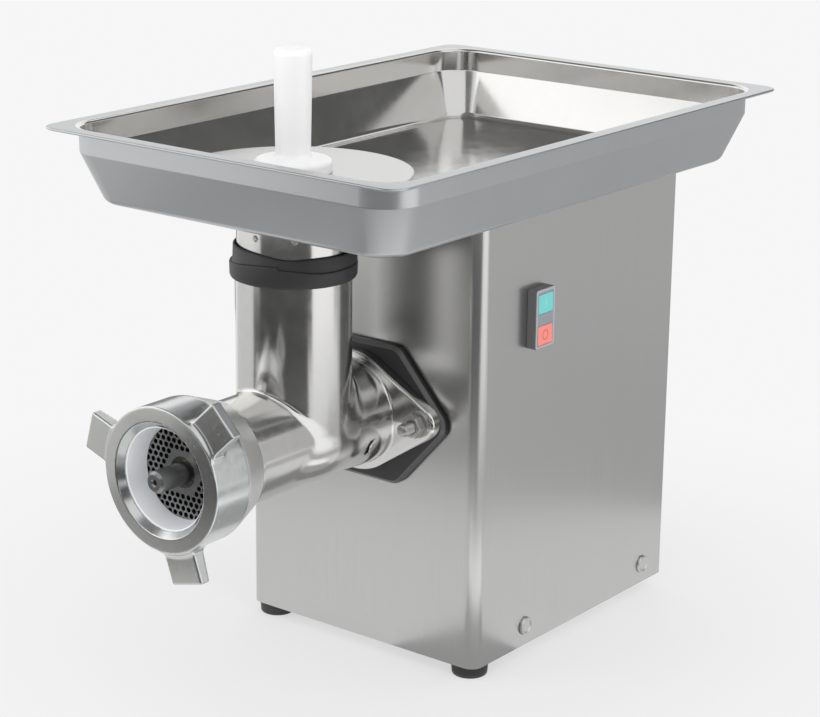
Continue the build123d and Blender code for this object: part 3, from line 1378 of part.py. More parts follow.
def feed_sleeve():
    """Rubber sleeve: a thick band on the feed tube and a thinner lip that rises to one side."""
    lip_bottom = SLEEVE_BOTTOM + SLEEVE_EDGE
    band_outline = [(TUBE_R, SLEEVE_BOTTOM), (SLEEVE_R, SLEEVE_BOTTOM), (SLEEVE_R, SLEEVE_TOP),
                    (TUBE_R, SLEEVE_TOP)]
    lip_outline = [(TUBE_R, lip_bottom), (SLEEVE_LIP_R, lip_bottom), (SLEEVE_LIP_R, SLEEVE_LIP_TOP),
                   (TUBE_R, SLEEVE_LIP_TOP)]
    band = turned_z(band_outline, ((1, SLEEVE_EDGE), (2, SLEEVE_EDGE)), 0, TUBE_Y)
    lip = turned_z(lip_outline, ((2, SLEEVE_LIP_EDGE),), 0, TUBE_Y)
    above = Box(4 * SLEEVE_R, 4 * SLEEVE_R, SLEEVE_R, align=(Align.CENTER, Align.CENTER, Align.MIN))
    slant = Pos(0, TUBE_Y, SLEEVE_LIP_TOP - SLEEVE_SLANT_DROP) * Rot(0, SLEEVE_SLANT, 0) * above
    return band.fuse(lip - slant)


PARTS = (
    housing_shell, housing_top, rear_cover, rear_cover_screws, base_plate, rubber_feet, foot_fasteners,
    side_cap_screws, cable_gland,
    head_gasket, head_body, head_studs, head_washers, head_nuts,
    plate_key_pin, perforated_plate, plate_bush, spacer_ring, ring_nut,
    output_shaft, output_gear, auger, auger_pin, knife,
    countershaft, countershaft_pinion, countershaft_gear,
    motor_shaft, motor_pinion, rotor_core, cooling_fan,
    gearbox_casing, bearing_bridge, gearbox_cover, gearbox_cover_screws, oil_seal,
    output_bearings, countershaft_bearings, motor_bearings,
    motor_frame, stator_core, stator_windings, motor_end_shield, fan_cowl, terminal_box, motor_cradle,
    din_rail, contactor, run_capacitor,
    switch_housing, switch_contact_block, start_button, stop_button,
    tray_pan, feed_chute, chute_rivets, guard_plate, guard_pillars,
    pusher, feed_sleeve,
)

os.makedirs("parts", exist_ok=True)
for make in PARTS:
    export_step(make(), f"parts/{make.__name__}.step")
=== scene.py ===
import json
import math

import bmesh
import bpy
import numpy as np
from mathutils import Matrix, Vector


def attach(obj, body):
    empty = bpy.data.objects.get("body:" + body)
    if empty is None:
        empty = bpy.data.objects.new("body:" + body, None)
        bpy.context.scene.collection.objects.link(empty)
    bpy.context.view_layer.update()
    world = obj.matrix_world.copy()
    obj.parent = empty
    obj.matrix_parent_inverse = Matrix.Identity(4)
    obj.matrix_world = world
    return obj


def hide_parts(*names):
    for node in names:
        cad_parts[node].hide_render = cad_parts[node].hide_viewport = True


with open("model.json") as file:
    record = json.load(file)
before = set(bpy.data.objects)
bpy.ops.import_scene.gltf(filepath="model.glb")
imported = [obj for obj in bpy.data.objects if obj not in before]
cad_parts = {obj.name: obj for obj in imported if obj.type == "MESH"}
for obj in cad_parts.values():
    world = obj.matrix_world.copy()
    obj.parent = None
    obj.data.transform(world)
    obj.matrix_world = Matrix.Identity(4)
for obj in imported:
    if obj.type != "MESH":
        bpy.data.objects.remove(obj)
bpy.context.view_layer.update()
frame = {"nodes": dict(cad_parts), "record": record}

MM = 0.001
FULL_TURN = 2 * math.pi

# Camera, fitted to the photograph
CAMERA_PLACE = Vector((1316.11, -1682.92, 916.38)) * MM
CAMERA_AZIMUTH = 37.82
CAMERA_ELEVATION = 16.74
CAMERA_ROLL = 0.62
CAMERA_REACH = 50.0
FOCAL_PIXELS = 2375.42
IMAGE_WIDTH = 820
SENSOR = 36.0


# Materials

NOISE_ROUGHNESS = 0.6
NOISE_RANGE = (0.3, 0.7)
METAL_DETAIL = 4.0
METAL_SMUDGE_SCALE = (9.0, 9.0, 9.0)
METAL_VARIATION = 0.02
MOULD_DETAIL = 3.0
MOULD_CLOUD_SCALE = (14.0, 14.0, 14.0)
MOULD_GLOSS_VARIATION = 0.05


def new_material(name):
    material = bpy.data.materials.new(name)
    material.use_nodes = True
    tree = material.node_tree
    return material, tree, tree.nodes["Principled BSDF"]


def add_node(tree, kind, inputs=None, **settings):
    """New node with its settings and the values of its input sockets."""
    node = tree.nodes.new(kind)
    for key, value in settings.items():
        setattr(node, key, value)
    for key, value in (inputs or {}).items():
        node.inputs[key].default_value = value
    return node


def object_noise(tree, scale, detail):
    """Noise in the object's own metres, stretched by a scale along each axis."""
    place = add_node(tree, "ShaderNodeTexCoord")
    mapping = add_node(tree, "ShaderNodeMapping", {"Scale": scale})
    noise = add_node(tree, "ShaderNodeTexNoise",
                     {"Scale": 1.0, "Detail": detail, "Roughness": NOISE_ROUGHNESS})
    tree.links.new(place.outputs["Object"], mapping.inputs["Vector"])
    tree.links.new(mapping.outputs["Vector"], noise.inputs["Vector"])
    return noise.outputs["Fac"]


def spread(tree, factor, low, high):
    """Maps the middle of a noise's range on to a range of values."""
    start, end = NOISE_RANGE
    node = add_node(tree, "ShaderNodeMapRange",
                    {"From Min": start, "From Max": end, "To Min": low, "To Max": high})
    tree.links.new(factor, node.inputs["Value"])
    return node.outputs["Result"]


def tint(tree, factor, shade, variation):
    """Colour that varies by a share to both sides of a shade."""
    low = tuple(channel * (1 - variation) for channel in shade)
    high = tuple(min(1.0, channel * (1 + variation)) for channel in shade)
    node = add_node(tree, "ShaderNodeMix", {"A": (*low, 1.0), "B": (*high, 1.0)}, data_type="RGBA")
    tree.links.new(spread(tree, factor, 0.0, 1.0), node.inputs["Factor"])
    return node.outputs["Result"]


def bump(tree, shader, height, distance):
    node = add_node(tree, "ShaderNodeBump", {"Distance": distance})
    tree.links.new(height, node.inputs["Height"])
    tree.links.new(node.outputs["Normal"], shader.inputs["Normal"])


def metal(name, shade, roughness, grain, grain_depth, smudge):
    """Metal whose grain is noise with a scale along each axis, with faint smudges."""
    material, tree, shader = new_material(name)
    shader.inputs["Metallic"].default_value = 1.0
    lines = object_noise(tree, grain, METAL_DETAIL)
    clouds = object_noise(tree, METAL_SMUDGE_SCALE, METAL_DETAIL)
    tree.links.new(tint(tree, lines, shade, METAL_VARIATION), shader.inputs["Base Color"])
    rough = add_node(tree, "ShaderNodeMath", operation="ADD")
    tree.links.new(spread(tree, lines, roughness - smudge, roughness + smudge), rough.inputs[0])
    tree.links.new(spread(tree, clouds, -smudge, smudge), rough.inputs[1])
    tree.links.new(rough.outputs["Value"], shader.inputs["Roughness"])
    bump(tree, shader, lines, grain_depth)
    return material


def moulded(name, shade, roughness, grain, depth, variation=0.04):
    """Rubber, plastic or paint with a fine grain."""
    material, tree, shader = new_material(name)
    fine = object_noise(tree, (grain, grain, grain), MOULD_DETAIL)
    clouds = object_noise(tree, MOULD_CLOUD_SCALE, MOULD_DETAIL)
    tree.links.new(tint(tree, clouds, shade, variation), shader.inputs["Base Color"])
    gloss = spread(tree, clouds, roughness - MOULD_GLOSS_VARIATION, roughness + MOULD_GLOSS_VARIATION)
    tree.links.new(gloss, shader.inputs["Roughness"])
    bump(tree, shader, fine, depth)
    return material


BODY_STEEL = metal("body_steel", (0.61, 0.61, 0.605), 0.26, (900, 900, 9), 1e-7, 0.006)
TRAY_STEEL = metal("tray_steel", (0.62, 0.62, 0.61), 0.24, (200, 200, 200), 1e-6, 0.03)
# Tray's outside: a rougher satin finish, and a darker shade than the same sheet inside, which is painted
# shade
TRAY_OUTSIDE_SHADED = metal("tray_outside_painted_shade", (0.545, 0.558, 0.567), 0.34, (8, 8, 8), 1e-6, 0.01)
TRAY_INSIDE = metal("tray_inside", (0.70, 0.695, 0.68), 0.14, (60, 60, 60), 2e-6, 0.03)
POLISHED = metal("polished_steel", (0.70, 0.695, 0.68), 0.17, (120, 120, 120), 1e-6, 0.02)
NUT_STEEL = metal("nut_steel", (0.66, 0.67, 0.67), 0.22, (150, 150, 150), 2e-6, 0.04)
NUT_FACE = metal("nut_face", (0.62, 0.625, 0.61), 0.24, (200, 40, 200), 1e-6, 0.03)
# Copy of the nut's steel for its tapered tail, with its own rougher grain and a much brighter shade that is a
# painted highlight
NUT_TAIL_HIGHLIGHT = metal("nut_tail_painted_highlight", (0.85, 0.85, 0.845), 0.4, (40, 400, 40), 2e-6, 0.03)
SATIN = metal("satin_steel", (0.62, 0.62, 0.61), 0.30, (300, 300, 300), 2e-6, 0.04)
FASTENER = metal("fastener_steel", (0.50, 0.49, 0.47), 0.34, (400, 400, 400), 3e-6, 0.05)
RIVET = metal("rivet_steel", (0.62, 0.62, 0.61), 0.5, (400, 400, 400), 3e-6, 0.05)
TOOL = metal("tool_steel", (0.32, 0.32, 0.32), 0.35, (400, 400, 400), 3e-6, 0.05)
CAST = metal("cast_alloy", (0.50, 0.51, 0.52), 0.45, (300, 300, 300), 1e-5, 0.05)
COPPER = metal("winding_copper", (0.60, 0.28, 0.14), 0.35, (500, 500, 500), 1e-5, 0.05)
BRONZE = metal("bush_bronze", (0.17, 0.16, 0.145), 0.30, (500, 500, 500), 3e-6, 0.05)
LAMINATION = metal("lamination_steel", (0.22, 0.22, 0.23), 0.5, (30, 3000, 30), 2e-5, 0.05)
RUBBER = moulded("black_rubber", (0.026, 0.026, 0.028), 0.5, 1600, 2e-5)
# Lighter rubber for the gasket's bevel: a painted sheen on the same black rubber
RUBBER_SHEEN = moulded("black_rubber_painted_sheen", (0.075, 0.075, 0.073), 0.3, 1600, 1e-5)
WHITE = moulded("white_polymer", (0.9, 0.9, 0.9), 0.38, 900, 1e-5, 0.01)
SPACER = moulded("spacer_polymer", (0.91, 0.93, 0.95), 0.45, 1200, 1e-5, 0.02)
BLACK = moulded("black_plastic", (0.05, 0.05, 0.055), 0.45, 1500, 2e-5)
# Switch housing is black plastic painted in three greys: the sides lightened as painted light, the front
# border and the face as a painted sheen
SWITCH_SIDE_LIGHT = moulded("black_plastic_painted_side_light", (0.13, 0.13, 0.135), 0.45, 1500, 1e-5)
SWITCH_FACE_SHEEN = moulded("black_plastic_painted_face_sheen", (0.25, 0.26, 0.29), 0.4, 1500, 1e-5)
SWITCH_BORDER_SHEEN = moulded("black_plastic_painted_border_sheen", (0.36, 0.37, 0.41), 0.4, 1500, 1e-5)
PAINT = moulded("grey_paint", (0.20, 0.22, 0.24), 0.4, 700, 2e-5)
GREEN = moulded("green_button_plastic", (0.15, 0.56, 0.55), 0.35, 900, 1e-5)
GREEN_MARK = moulded("green_button_mark", (0.24, 0.66, 0.66), 0.4, 900, 1e-5)
RED = moulded("red_button_plastic", (0.86, 0.24, 0.19), 0.35, 900, 1e-5)
RED_MARK = moulded("red_button_mark", (0.55, 0.15, 0.13), 0.4, 900, 1e-5)

SLOT_MATERIALS = {
    "brushed_stainless": BODY_STEEL,
    "tray_stainless": TRAY_STEEL,
    "polished_stainless": POLISHED,
    "steel_fastener": FASTENER,
    "black_rubber": RUBBER,
    "white_polymer": WHITE,
    "spacer_polymer": SPACER,
    "tool_steel": TOOL,
    "cast_stainless": SATIN,
    "bronze": BRONZE,
    "machined_steel": TOOL,
    "cast_aluminium": CAST,
    "lamination_steel": LAMINATION,
    "copper_winding": COPPER,
    "painted_steel": PAINT,
    "black_plastic": BLACK,
    "green_button": GREEN,
    "red_button": RED,
}
NODE_MATERIALS = {"chute_rivets": RIVET}


def dress_nodes():
    """Every carried-over node takes its own material, or else its slot's."""
    for row in frame["record"]["subparts"]:
        mesh = frame["nodes"][row["node"]].data
        mesh.materials.clear()
        mesh.materials.append(NODE_MATERIALS.get(row["node"], SLOT_MATERIALS[row["material_slot"]]))


# Pieces from meshes

def add_piece(name, mesh):
    piece = bpy.data.objects.new(name, mesh)
    bpy.context.scene.collection.objects.link(piece)
    return piece


def mesh_piece(name, points, faces):
    """Piece from points in metres and the faces between them."""
    mesh = bpy.data.meshes.new(name)
    mesh.from_pydata(points, [], faces)
    return add_piece(name, mesh)


def edited_piece(name, model):
    """Piece from an edited mesh, which is then freed."""
    mesh = bpy.data.meshes.new(name)
    model.to_mesh(mesh)
    model.free()
    return add_piece(name, mesh)


def paint(piece, *materials):
    for material in materials:
        piece.data.materials.append(material)


# Surfaces found from a distance field

SLOPE_REACH = 0.02
SETTLE_ROUNDS = 4
LEAST_STEEPNESS = 0.05
LONGEST_MOVE = 0.5
TINY = 1e-9


def smooth_union(a, b, blend):
    overlap = np.maximum(blend - np.abs(a - b), 0.0) / blend
    return np.minimum(a, b) - overlap * overlap * blend / 4


def smooth_overlap(a, b, blend):
    """What solids a and b share, with a rounded edge."""
    return -smooth_union(-a, -b, blend)


def smooth_cut(a, b, blend):
    """Solid a without solid b, with a rounded edge."""
    return smooth_overlap(a, -b, blend)


def smooth_step(value, start, end):
    t = np.clip((value - start) / (end - start), 0.0, 1.0)
    return t * t * (3 - 2 * t)


def rounded_block(walls, edge):
    """Solid behind all its walls, with rounded edges that reach out past the walls by the rounding."""
    outside = np.sqrt(sum(np.maximum(wall, 0.0) ** 2 for wall in walls))
    return outside + np.minimum(np.maximum.reduce(walls), 0.0) - edge


def tapered_capsule(x, z, near_r, far_x, far_z, far_r):
    """Distance in a plane to the band round a circle at the origin and a smaller one away from it."""
    length = math.hypot(far_x, far_z)
    along = (x * far_x + z * far_z) / length
    across = np.abs(x * far_z - z * far_x) / length
    lean = (near_r - far_r) / length
    rise = math.sqrt(1 - lean * lean)
    key = along * rise - across * lean
    near = np.hypot(across, along) - near_r
    far = np.hypot(across, along - length) - far_r
    side = across * rise + along * lean - near_r
    return np.where(key < 0, near, np.where(key > length * rise, far, side))


def field_slope(field, points):
    slope = np.empty_like(points)
    for axis in range(3):
        shift = np.zeros(3)
        shift[axis] = SLOPE_REACH
        rise = field(*(points + shift).T) - field(*(points - shift).T)
        slope[:, axis] = rise / (2 * SLOPE_REACH)
    return slope


def crossing_points(value, low, step):
    """One point in each grid cell that the surface crosses, and the number of each cell's point."""
    cells = tuple(count - 1 for count in value.shape)
    total = np.zeros(cells + (3,))
    crossed = np.zeros(cells)
    for first in np.ndindex(2, 2, 2):
        for axis in range(3):
            if first[axis]:
                continue
            second = list(first)
            second[axis] = 1
            a = value[tuple(slice(f, f + n) for f, n in zip(first, cells))]
            b = value[tuple(slice(s, s + n) for s, n in zip(second, cells))]
            change = (a < 0) != (b < 0)
            share = np.where(change, a / np.where(change, a - b, 1.0), 0.0)
            crossed += change
            for direction in range(3):
                reach = share if direction == axis else 0.0
                total[..., direction] += change * (first[direction] + reach)
    active = crossed > 0
    number = np.full(cells, -1)
    number[active] = np.arange(active.sum())
    points = np.array(low) + step * (np.argwhere(active) + total[active] / crossed[active][:, None])
    return points, number


def crossing_faces(value, number):
    """Four-sided faces round every grid edge that the surface crosses."""
    cells = number.shape
    faces = []
    for axis in range(3):
        u, v = (axis + 1) % 3, (axis + 2) % 3
        before, after = [slice(None)] * 3, [slice(None)] * 3
        before[axis], after[axis] = slice(0, -1), slice(1, None)
        a, b = value[tuple(before)] < 0, value[tuple(after)] < 0
        for flip, crossing in ((False, a & ~b), (True, ~a & b)):
            edge = np.argwhere(crossing)
            edge = edge[(edge[:, u] > 0) & (edge[:, u] < cells[u])
                        & (edge[:, v] > 0) & (edge[:, v] < cells[v])]
            ring = []
            for du, dv in ((-1, -1), (0, -1), (0, 0), (-1, 0)):
                cell = edge.copy()
                cell[:, u] += du
                cell[:, v] += dv
                ring.append(number[tuple(cell.T)])
            quad = np.stack(ring, axis=1)
            faces.append(quad[:, ::-1] if flip else quad)
    return np.concatenate(faces)


def settle(field, points, step):
    """Points drawn on to the surface along the field's slope."""
    for _ in range(SETTLE_ROUNDS):
        slope = field_slope(field, points)
        steepness = np.maximum((slope ** 2).sum(axis=1), LEAST_STEEPNESS)
        move = -(field(*points.T) / steepness)[:, None] * slope
        length = np.linalg.norm(move, axis=1)[:, None]
        points = points + move * np.minimum(1.0, LONGEST_MOVE * step / np.maximum(length, TINY))
    return points


def field_piece(name, field, low, high, step):
    """Mesh of the surface where a distance field in millimetres is zero, with the field's own normals."""
    counts = [int(round((b - a) / step)) + 1 for a, b in zip(low, high)]
    axes = [a + step * np.arange(count) for a, count in zip(low, counts)]
    value = field(*np.meshgrid(*axes, indexing="ij"))
    points, number = crossing_points(value, low, step)
    points = settle(field, points, step)
    normals = field_slope(field, points)
    normals /= np.linalg.norm(normals, axis=1)[:, None]
    piece = mesh_piece(name, (points * MM).tolist(), crossing_faces(value, number).tolist())
    piece.data.shade_smooth()
    piece.data.normals_split_custom_set_from_vertices(normals.tolist())
    return piece


# Head casting, in millimetres

HEAD_Z = 242.0
HEAD_FRONT = -298.0
HEAD_BACK = -66.0
HEAD_EDGE = 1.2
HEAD_GRID = ((-99, -301, 183), (99, -64, 399), 1.7)
THREAD_PITCH = 6.0
THREAD_RADIUS = 51.1
THREAD_DEPTH = 0.45
THREAD_END = -262.0
COLLAR_RADIUS = 51.55
COLLAR_END = -251.0
BARREL_RADIUS = 47.8
BELL_FLARE = 2.7
BELL_RANGE = (-128.0, -82.0)
BARREL_BORE = 43.0
SEAT_BORE = 46.5
SEAT_END = -262.0
PLATE_BORE = 49.2
PLATE_BACK = -289.8
TUBE_Y = -155.0
TUBE_RADIUS = 51.6
TUBE_BELLY = 46.5
TUBE_TOP = 397.0
TUBE_BORE = 47.0

# Rounding between tube and barrel, wider low on the sides and behind the tube
BLEND = 4.5
BLEND_LOW = 13.0
BLEND_LOW_RISE = (-10.0, 22.0)
BLEND_LOW_FALL = (26.0, 44.0)
BLEND_REAR = 6.0
BLEND_REAR_RISE = (-150.0, -120.0)
BLEND_UPPER_RISE = (-20.0, 20.0)

FLANGE_RADIUS = 58.0
FLANGE_FRONT = -74.0
FLANGE_DRAFT = 0.08
FLANGE_EDGE = 3.0
FLANGE_BLEND = 3.0
EAR_X = 80.0
EAR_UP = 3.0
EAR_RADIUS = 16.5

DRAIN_LEAN = math.radians(24.0)
DRAIN_Y = -104.0
DRAIN_BOW = 2.5
DRAIN_BOW_REACH = 9.0
DRAIN_HALF_WIDTH = 1.5
DRAIN_HALF_LENGTH = 7.0
DRAIN_EDGE = 0.8
DRAIN_LIP = 1.0
DRAIN_DEEPEST = 30.0


def head_field(x, y, z):
    """Barrel with a bell, a feed tube and a flange with two ears, bored through."""
    up = z - HEAD_Z
    rho = np.hypot(x, up)
    turn = np.arctan2(up, x)
    thread = THREAD_RADIUS + THREAD_DEPTH * np.cos(FULL_TURN * y / THREAD_PITCH - turn)
    bell = BARREL_RADIUS + BELL_FLARE * smooth_step(y, *BELL_RANGE)
    radius = np.where(y < THREAD_END, thread, np.where(y < COLLAR_END, COLLAR_RADIUS, bell))
    barrel = np.maximum(rho - radius, np.maximum(HEAD_FRONT - y, y - HEAD_BACK))
    drop = np.minimum(up, 0.0)
    reach = np.sqrt(x * x + (y - TUBE_Y) ** 2 + (drop * TUBE_RADIUS / TUBE_BELLY) ** 2)
    tube = np.maximum(reach - TUBE_RADIUS, z - TUBE_TOP)
    low = smooth_step(-up, *BLEND_LOW_RISE) * (1.0 - smooth_step(-up, *BLEND_LOW_FALL))
    rear = smooth_step(y, *BLEND_REAR_RISE) * smooth_step(up, *BLEND_UPPER_RISE)
    head = smooth_union(barrel, tube, BLEND + BLEND_LOW * low + BLEND_REAR * rear)
    ears = [tapered_capsule(x, up, FLANGE_RADIUS, ear_x, EAR_UP, EAR_RADIUS) for ear_x in (EAR_X, -EAR_X)]
    front = FLANGE_FRONT + FLANGE_DRAFT * np.maximum(-up, 0.0) - y
    flange = rounded_block([np.minimum(*ears) + FLANGE_EDGE, front], FLANGE_EDGE)
    head = smooth_union(head, np.maximum(flange, y - HEAD_BACK), FLANGE_BLEND)
    seat = np.maximum(rho - np.where(y < PLATE_BACK, PLATE_BORE, SEAT_BORE), y - SEAT_END)
    feed = np.maximum(np.hypot(x, y - TUBE_Y) - TUBE_BORE, -up)
    inside = np.minimum(np.minimum(rho - BARREL_BORE, seat), feed)
    return smooth_cut(head, inside, HEAD_EDGE)


def drain_field(x, y, z):
    """Crescent weep slot low on the barrel, just ahead of the flange."""
    up = z - HEAD_Z
    out = x * math.cos(DRAIN_LEAN) - up * math.sin(DRAIN_LEAN)
    side = x * math.sin(DRAIN_LEAN) + up * math.cos(DRAIN_LEAN)
    bow = y - DRAIN_Y - DRAIN_BOW * (side / DRAIN_BOW_REACH) ** 2
    slot = rounded_block([np.abs(bow) - DRAIN_HALF_WIDTH, np.abs(side) - DRAIN_HALF_LENGTH], DRAIN_EDGE)
    return np.maximum(slot, DRAIN_DEEPEST - out)


def casting_field(x, y, z):
    return smooth_cut(head_field(x, y, z), drain_field(x, y, z), DRAIN_LIP)


def model_head():
    casting = field_piece("head_casting", casting_field, *HEAD_GRID)
    paint(casting, POLISHED)
    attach(casting, "housing")
    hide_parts("head_body")


# Ring nut, in millimetres

NUT_RADIUS = 64.4
NUT_FRONT = -329.0
NUT_FRONT_LEAN = 0.1
NUT_FRONT_EDGE = 1.6
NUT_BACK = -256.0
NUT_EDGE = 1.0
NUT_TAIL_Y = -286.0
NUT_TAIL_SLOPE = (0.939, 0.344)
NUT_MOUTH = 50.8
NUT_MOUTH_SLOPE = (0.781, 0.625)
NUT_LIP_BORE = 45.2
NUT_BORES = ((49.5, -322.0), (52.0, -303.0))
NUT_BORE_EDGE = 0.6
NUT_GRID = ((-98, -331, 145), (82, -253, 324), 1.2)
NUT_FACE_NORMAL = -0.97
LUG_ANGLES = (44.5, 164.5, 284.5)
LUG_MIDDLE = 74.0
LUG_HALF_LENGTH = 19.0
LUG_HALF_WIDTH = 17.5
LUG_FRONT = -324.0
LUG_BACK = -311.0
LUG_LEAN = 0.08
LUG_ROOT = 64.0
LUG_EDGE = 1.8
LUG_BLEND = 6.0


def lug_field(x, y, up, angle):
    turn = math.radians(angle)
    out = x * math.cos(turn) + up * math.sin(turn)
    side = up * math.cos(turn) - x * math.sin(turn)
    front = LUG_FRONT + LUG_LEAN * (out - LUG_ROOT) - y
    walls = [np.abs(out - LUG_MIDDLE) - LUG_HALF_LENGTH, np.abs(side) - LUG_HALF_WIDTH,
             np.maximum(front, y - LUG_BACK)]
    return rounded_block([wall + LUG_EDGE for wall in walls], LUG_EDGE)


def nut_field(x, y, z):
    """Ring with a tapered tail and three lugs, and a bore that widens in steps."""
    up = z - HEAD_Z
    rho = np.hypot(x, up)
    tail = (rho - NUT_RADIUS) * NUT_TAIL_SLOPE[0] + (y - NUT_TAIL_Y) * NUT_TAIL_SLOPE[1]
    ring = smooth_overlap(rho - NUT_RADIUS, tail, NUT_EDGE)
    for angle in LUG_ANGLES:
        ring = smooth_union(ring, lug_field(x, y, up, angle), LUG_BLEND)
    ahead = y - NUT_FRONT - NUT_FRONT_LEAN * (rho - NUT_MOUTH)
    ring = smooth_cut(ring, ahead, NUT_FRONT_EDGE)
    ring = smooth_overlap(ring, y - NUT_BACK, NUT_EDGE)
    mouth = (rho - NUT_MOUTH) * NUT_MOUTH_SLOPE[0] + (y - NUT_FRONT) * NUT_MOUTH_SLOPE[1]
    inside = np.minimum(mouth, rho - NUT_LIP_BORE)
    for bore, start in NUT_BORES:
        inside = np.minimum(inside, np.maximum(rho - bore, start - y))
    return smooth_cut(ring, inside, NUT_BORE_EDGE)


def model_nut():
    nut = field_piece("ring_nut_casting", nut_field, *NUT_GRID)
    paint(nut, NUT_STEEL, NUT_FACE, NUT_TAIL_HIGHLIGHT)
    for polygon in nut.data.polygons:
        if polygon.normal.y < NUT_FACE_NORMAL:
            polygon.material_index = 1
        # The tapered tail takes the painted highlight
        elif polygon.center.y > NUT_TAIL_Y * MM:
            polygon.material_index = 2
    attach(nut, "nut")
    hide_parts("ring_nut")


# Lofted pieces

FLAT_WEIGHT = 100


def loft_piece(name, rings, closed=False, ends=(False, False)):
    """Mesh through rings with equal numbers of points, given in millimetres."""
    rings = [np.asarray(ring, float) for ring in rings]
    count = len(rings[0])
    rows = len(rings)
    faces = []
    for row in range(rows if closed else rows - 1):
        a, b = row * count, (row + 1) % rows * count
        faces += [(a + i, a + (i + 1) % count, b + (i + 1) % count, b + i) for i in range(count)]
    if ends[0]:
        faces.append(tuple(range(count))[::-1])
    if ends[1]:
        faces.append(tuple(range((rows - 1) * count, rows * count)))
    piece = mesh_piece(name, (np.concatenate(rings) * MM).tolist(), faces)
    piece.data.shade_smooth()
    return piece


def keep_flats(piece):
    """Large faces keep their own normals, and small rounding faces bend between them."""
    modifier = piece.modifiers.new("flat_faces", "WEIGHTED_NORMAL")
    modifier.weight = FLAT_WEIGHT
    modifier.keep_sharp = True


def corner_arcs(half_a, half_b, corner, steps):
    """The four rounded corners of a rectangle round the origin, in turn."""
    share = np.arange(steps + 1) / steps
    arcs = []
    for turn, (side_a, side_b) in enumerate(((1, 1), (-1, 1), (-1, -1), (1, -1))):
        angle = math.pi / 2 * (turn + share)
        arcs.append(np.stack([side_a * (half_a - corner) + corner * np.cos(angle),
                              side_b * (half_b - corner) + corner * np.sin(angle)], axis=1))
    return arcs


def arc_profile(middle, radius, start, end, steps):
    """Points of an arc as (distance, height) pairs, angles in degrees."""
    angles = np.radians(np.linspace(start, end, steps))
    return [(middle[0] + radius * math.cos(a), middle[1] + radius * math.sin(a)) for a in angles]


# Tray, in millimetres

TRAY_Y = 35.0
TRAY_HALF_X = 200.0
TRAY_HALF_Y = 300.0
TRAY_TOP = 509.0
TRAY_CREASE = 486.5
TRAY_FLOOR = 439.5
TRAY_RIM = 14.5
TRAY_SLOPE_INSET = 18.7
TRAY_SHEET = 1.5
RIM_CORNER = 16.0
WALL_CORNER_GAIN = 20.0
HEM_RADIUS = 1.25
HEM_STEPS = 6
FOLD_OUTSIDE = 1.5
FOLD_INSIDE = 3.0
CREASE_ROUND = 2.5
CREASE_LIFT = 0.4
FOOT_OUTSIDE = 9.0
FOOT_INSIDE = FOOT_OUTSIDE - TRAY_SHEET
FEED_HOLE = 46.9
HOLE_ROUND = 2.0
HOLE_ROUND_MIDDLE = 0.6
NECK_START = 1.0
NECK_DEPTH = 17.0
CORNER_STEPS = 14
SIDE_STEPS = 14
FLOOR_STEPS = 12
TUBE_AXIS = np.array([0.0, TUBE_Y])


def corner_at(inset):
    """Corner radius of the rim outside, and of the walls further in."""
    return RIM_CORNER + WALL_CORNER_GAIN * min(1.0, inset / TRAY_RIM) - max(0.0, inset - TRAY_RIM) / 2


def tray_ring(inset, z):
    """Rounded rectangle set in from the tray's outline."""
    arcs = corner_arcs(TRAY_HALF_X - inset, TRAY_HALF_Y - inset, corner_at(inset), CORNER_STEPS)
    share = np.arange(1, SIDE_STEPS)[:, None] / SIDE_STEPS
    parts = []
    for arc, following in zip(arcs, arcs[1:] + arcs[:1]):
        parts += [arc, arc[-1] + (following[0] - arc[-1]) * share]
    flat = np.concatenate(parts)
    return np.column_stack([flat[:, 0], flat[:, 1] + TRAY_Y, np.full(len(flat), z)])


def from_tube_axis(ring):
    """Unit directions from the feed tube's axis to the points of a ring."""
    away = ring[:, :2] - TUBE_AXIS
    return away / np.linalg.norm(away, axis=1)[:, None]


def floor_rings(outer, radius, z):
    """Rings that lead from a tray outline in to the round feed hole."""
    rim = TUBE_AXIS + radius * from_tube_axis(outer)
    rings = []
    for step in range(1, FLOOR_STEPS + 1):
        flat = outer[:, :2] + (rim - outer[:, :2]) * (step / FLOOR_STEPS)
        rings.append(np.column_stack([flat, np.full(len(flat), z)]))
    return rings


def neck_rings(last, steps):
    """Rings that lead from the edge of the feed hole down the neck, as (radius, height) steps."""
    unit = from_tube_axis(last)
    return [np.column_stack([TUBE_AXIS + unit * radius, np.full(len(unit), z)]) for radius, z in steps]


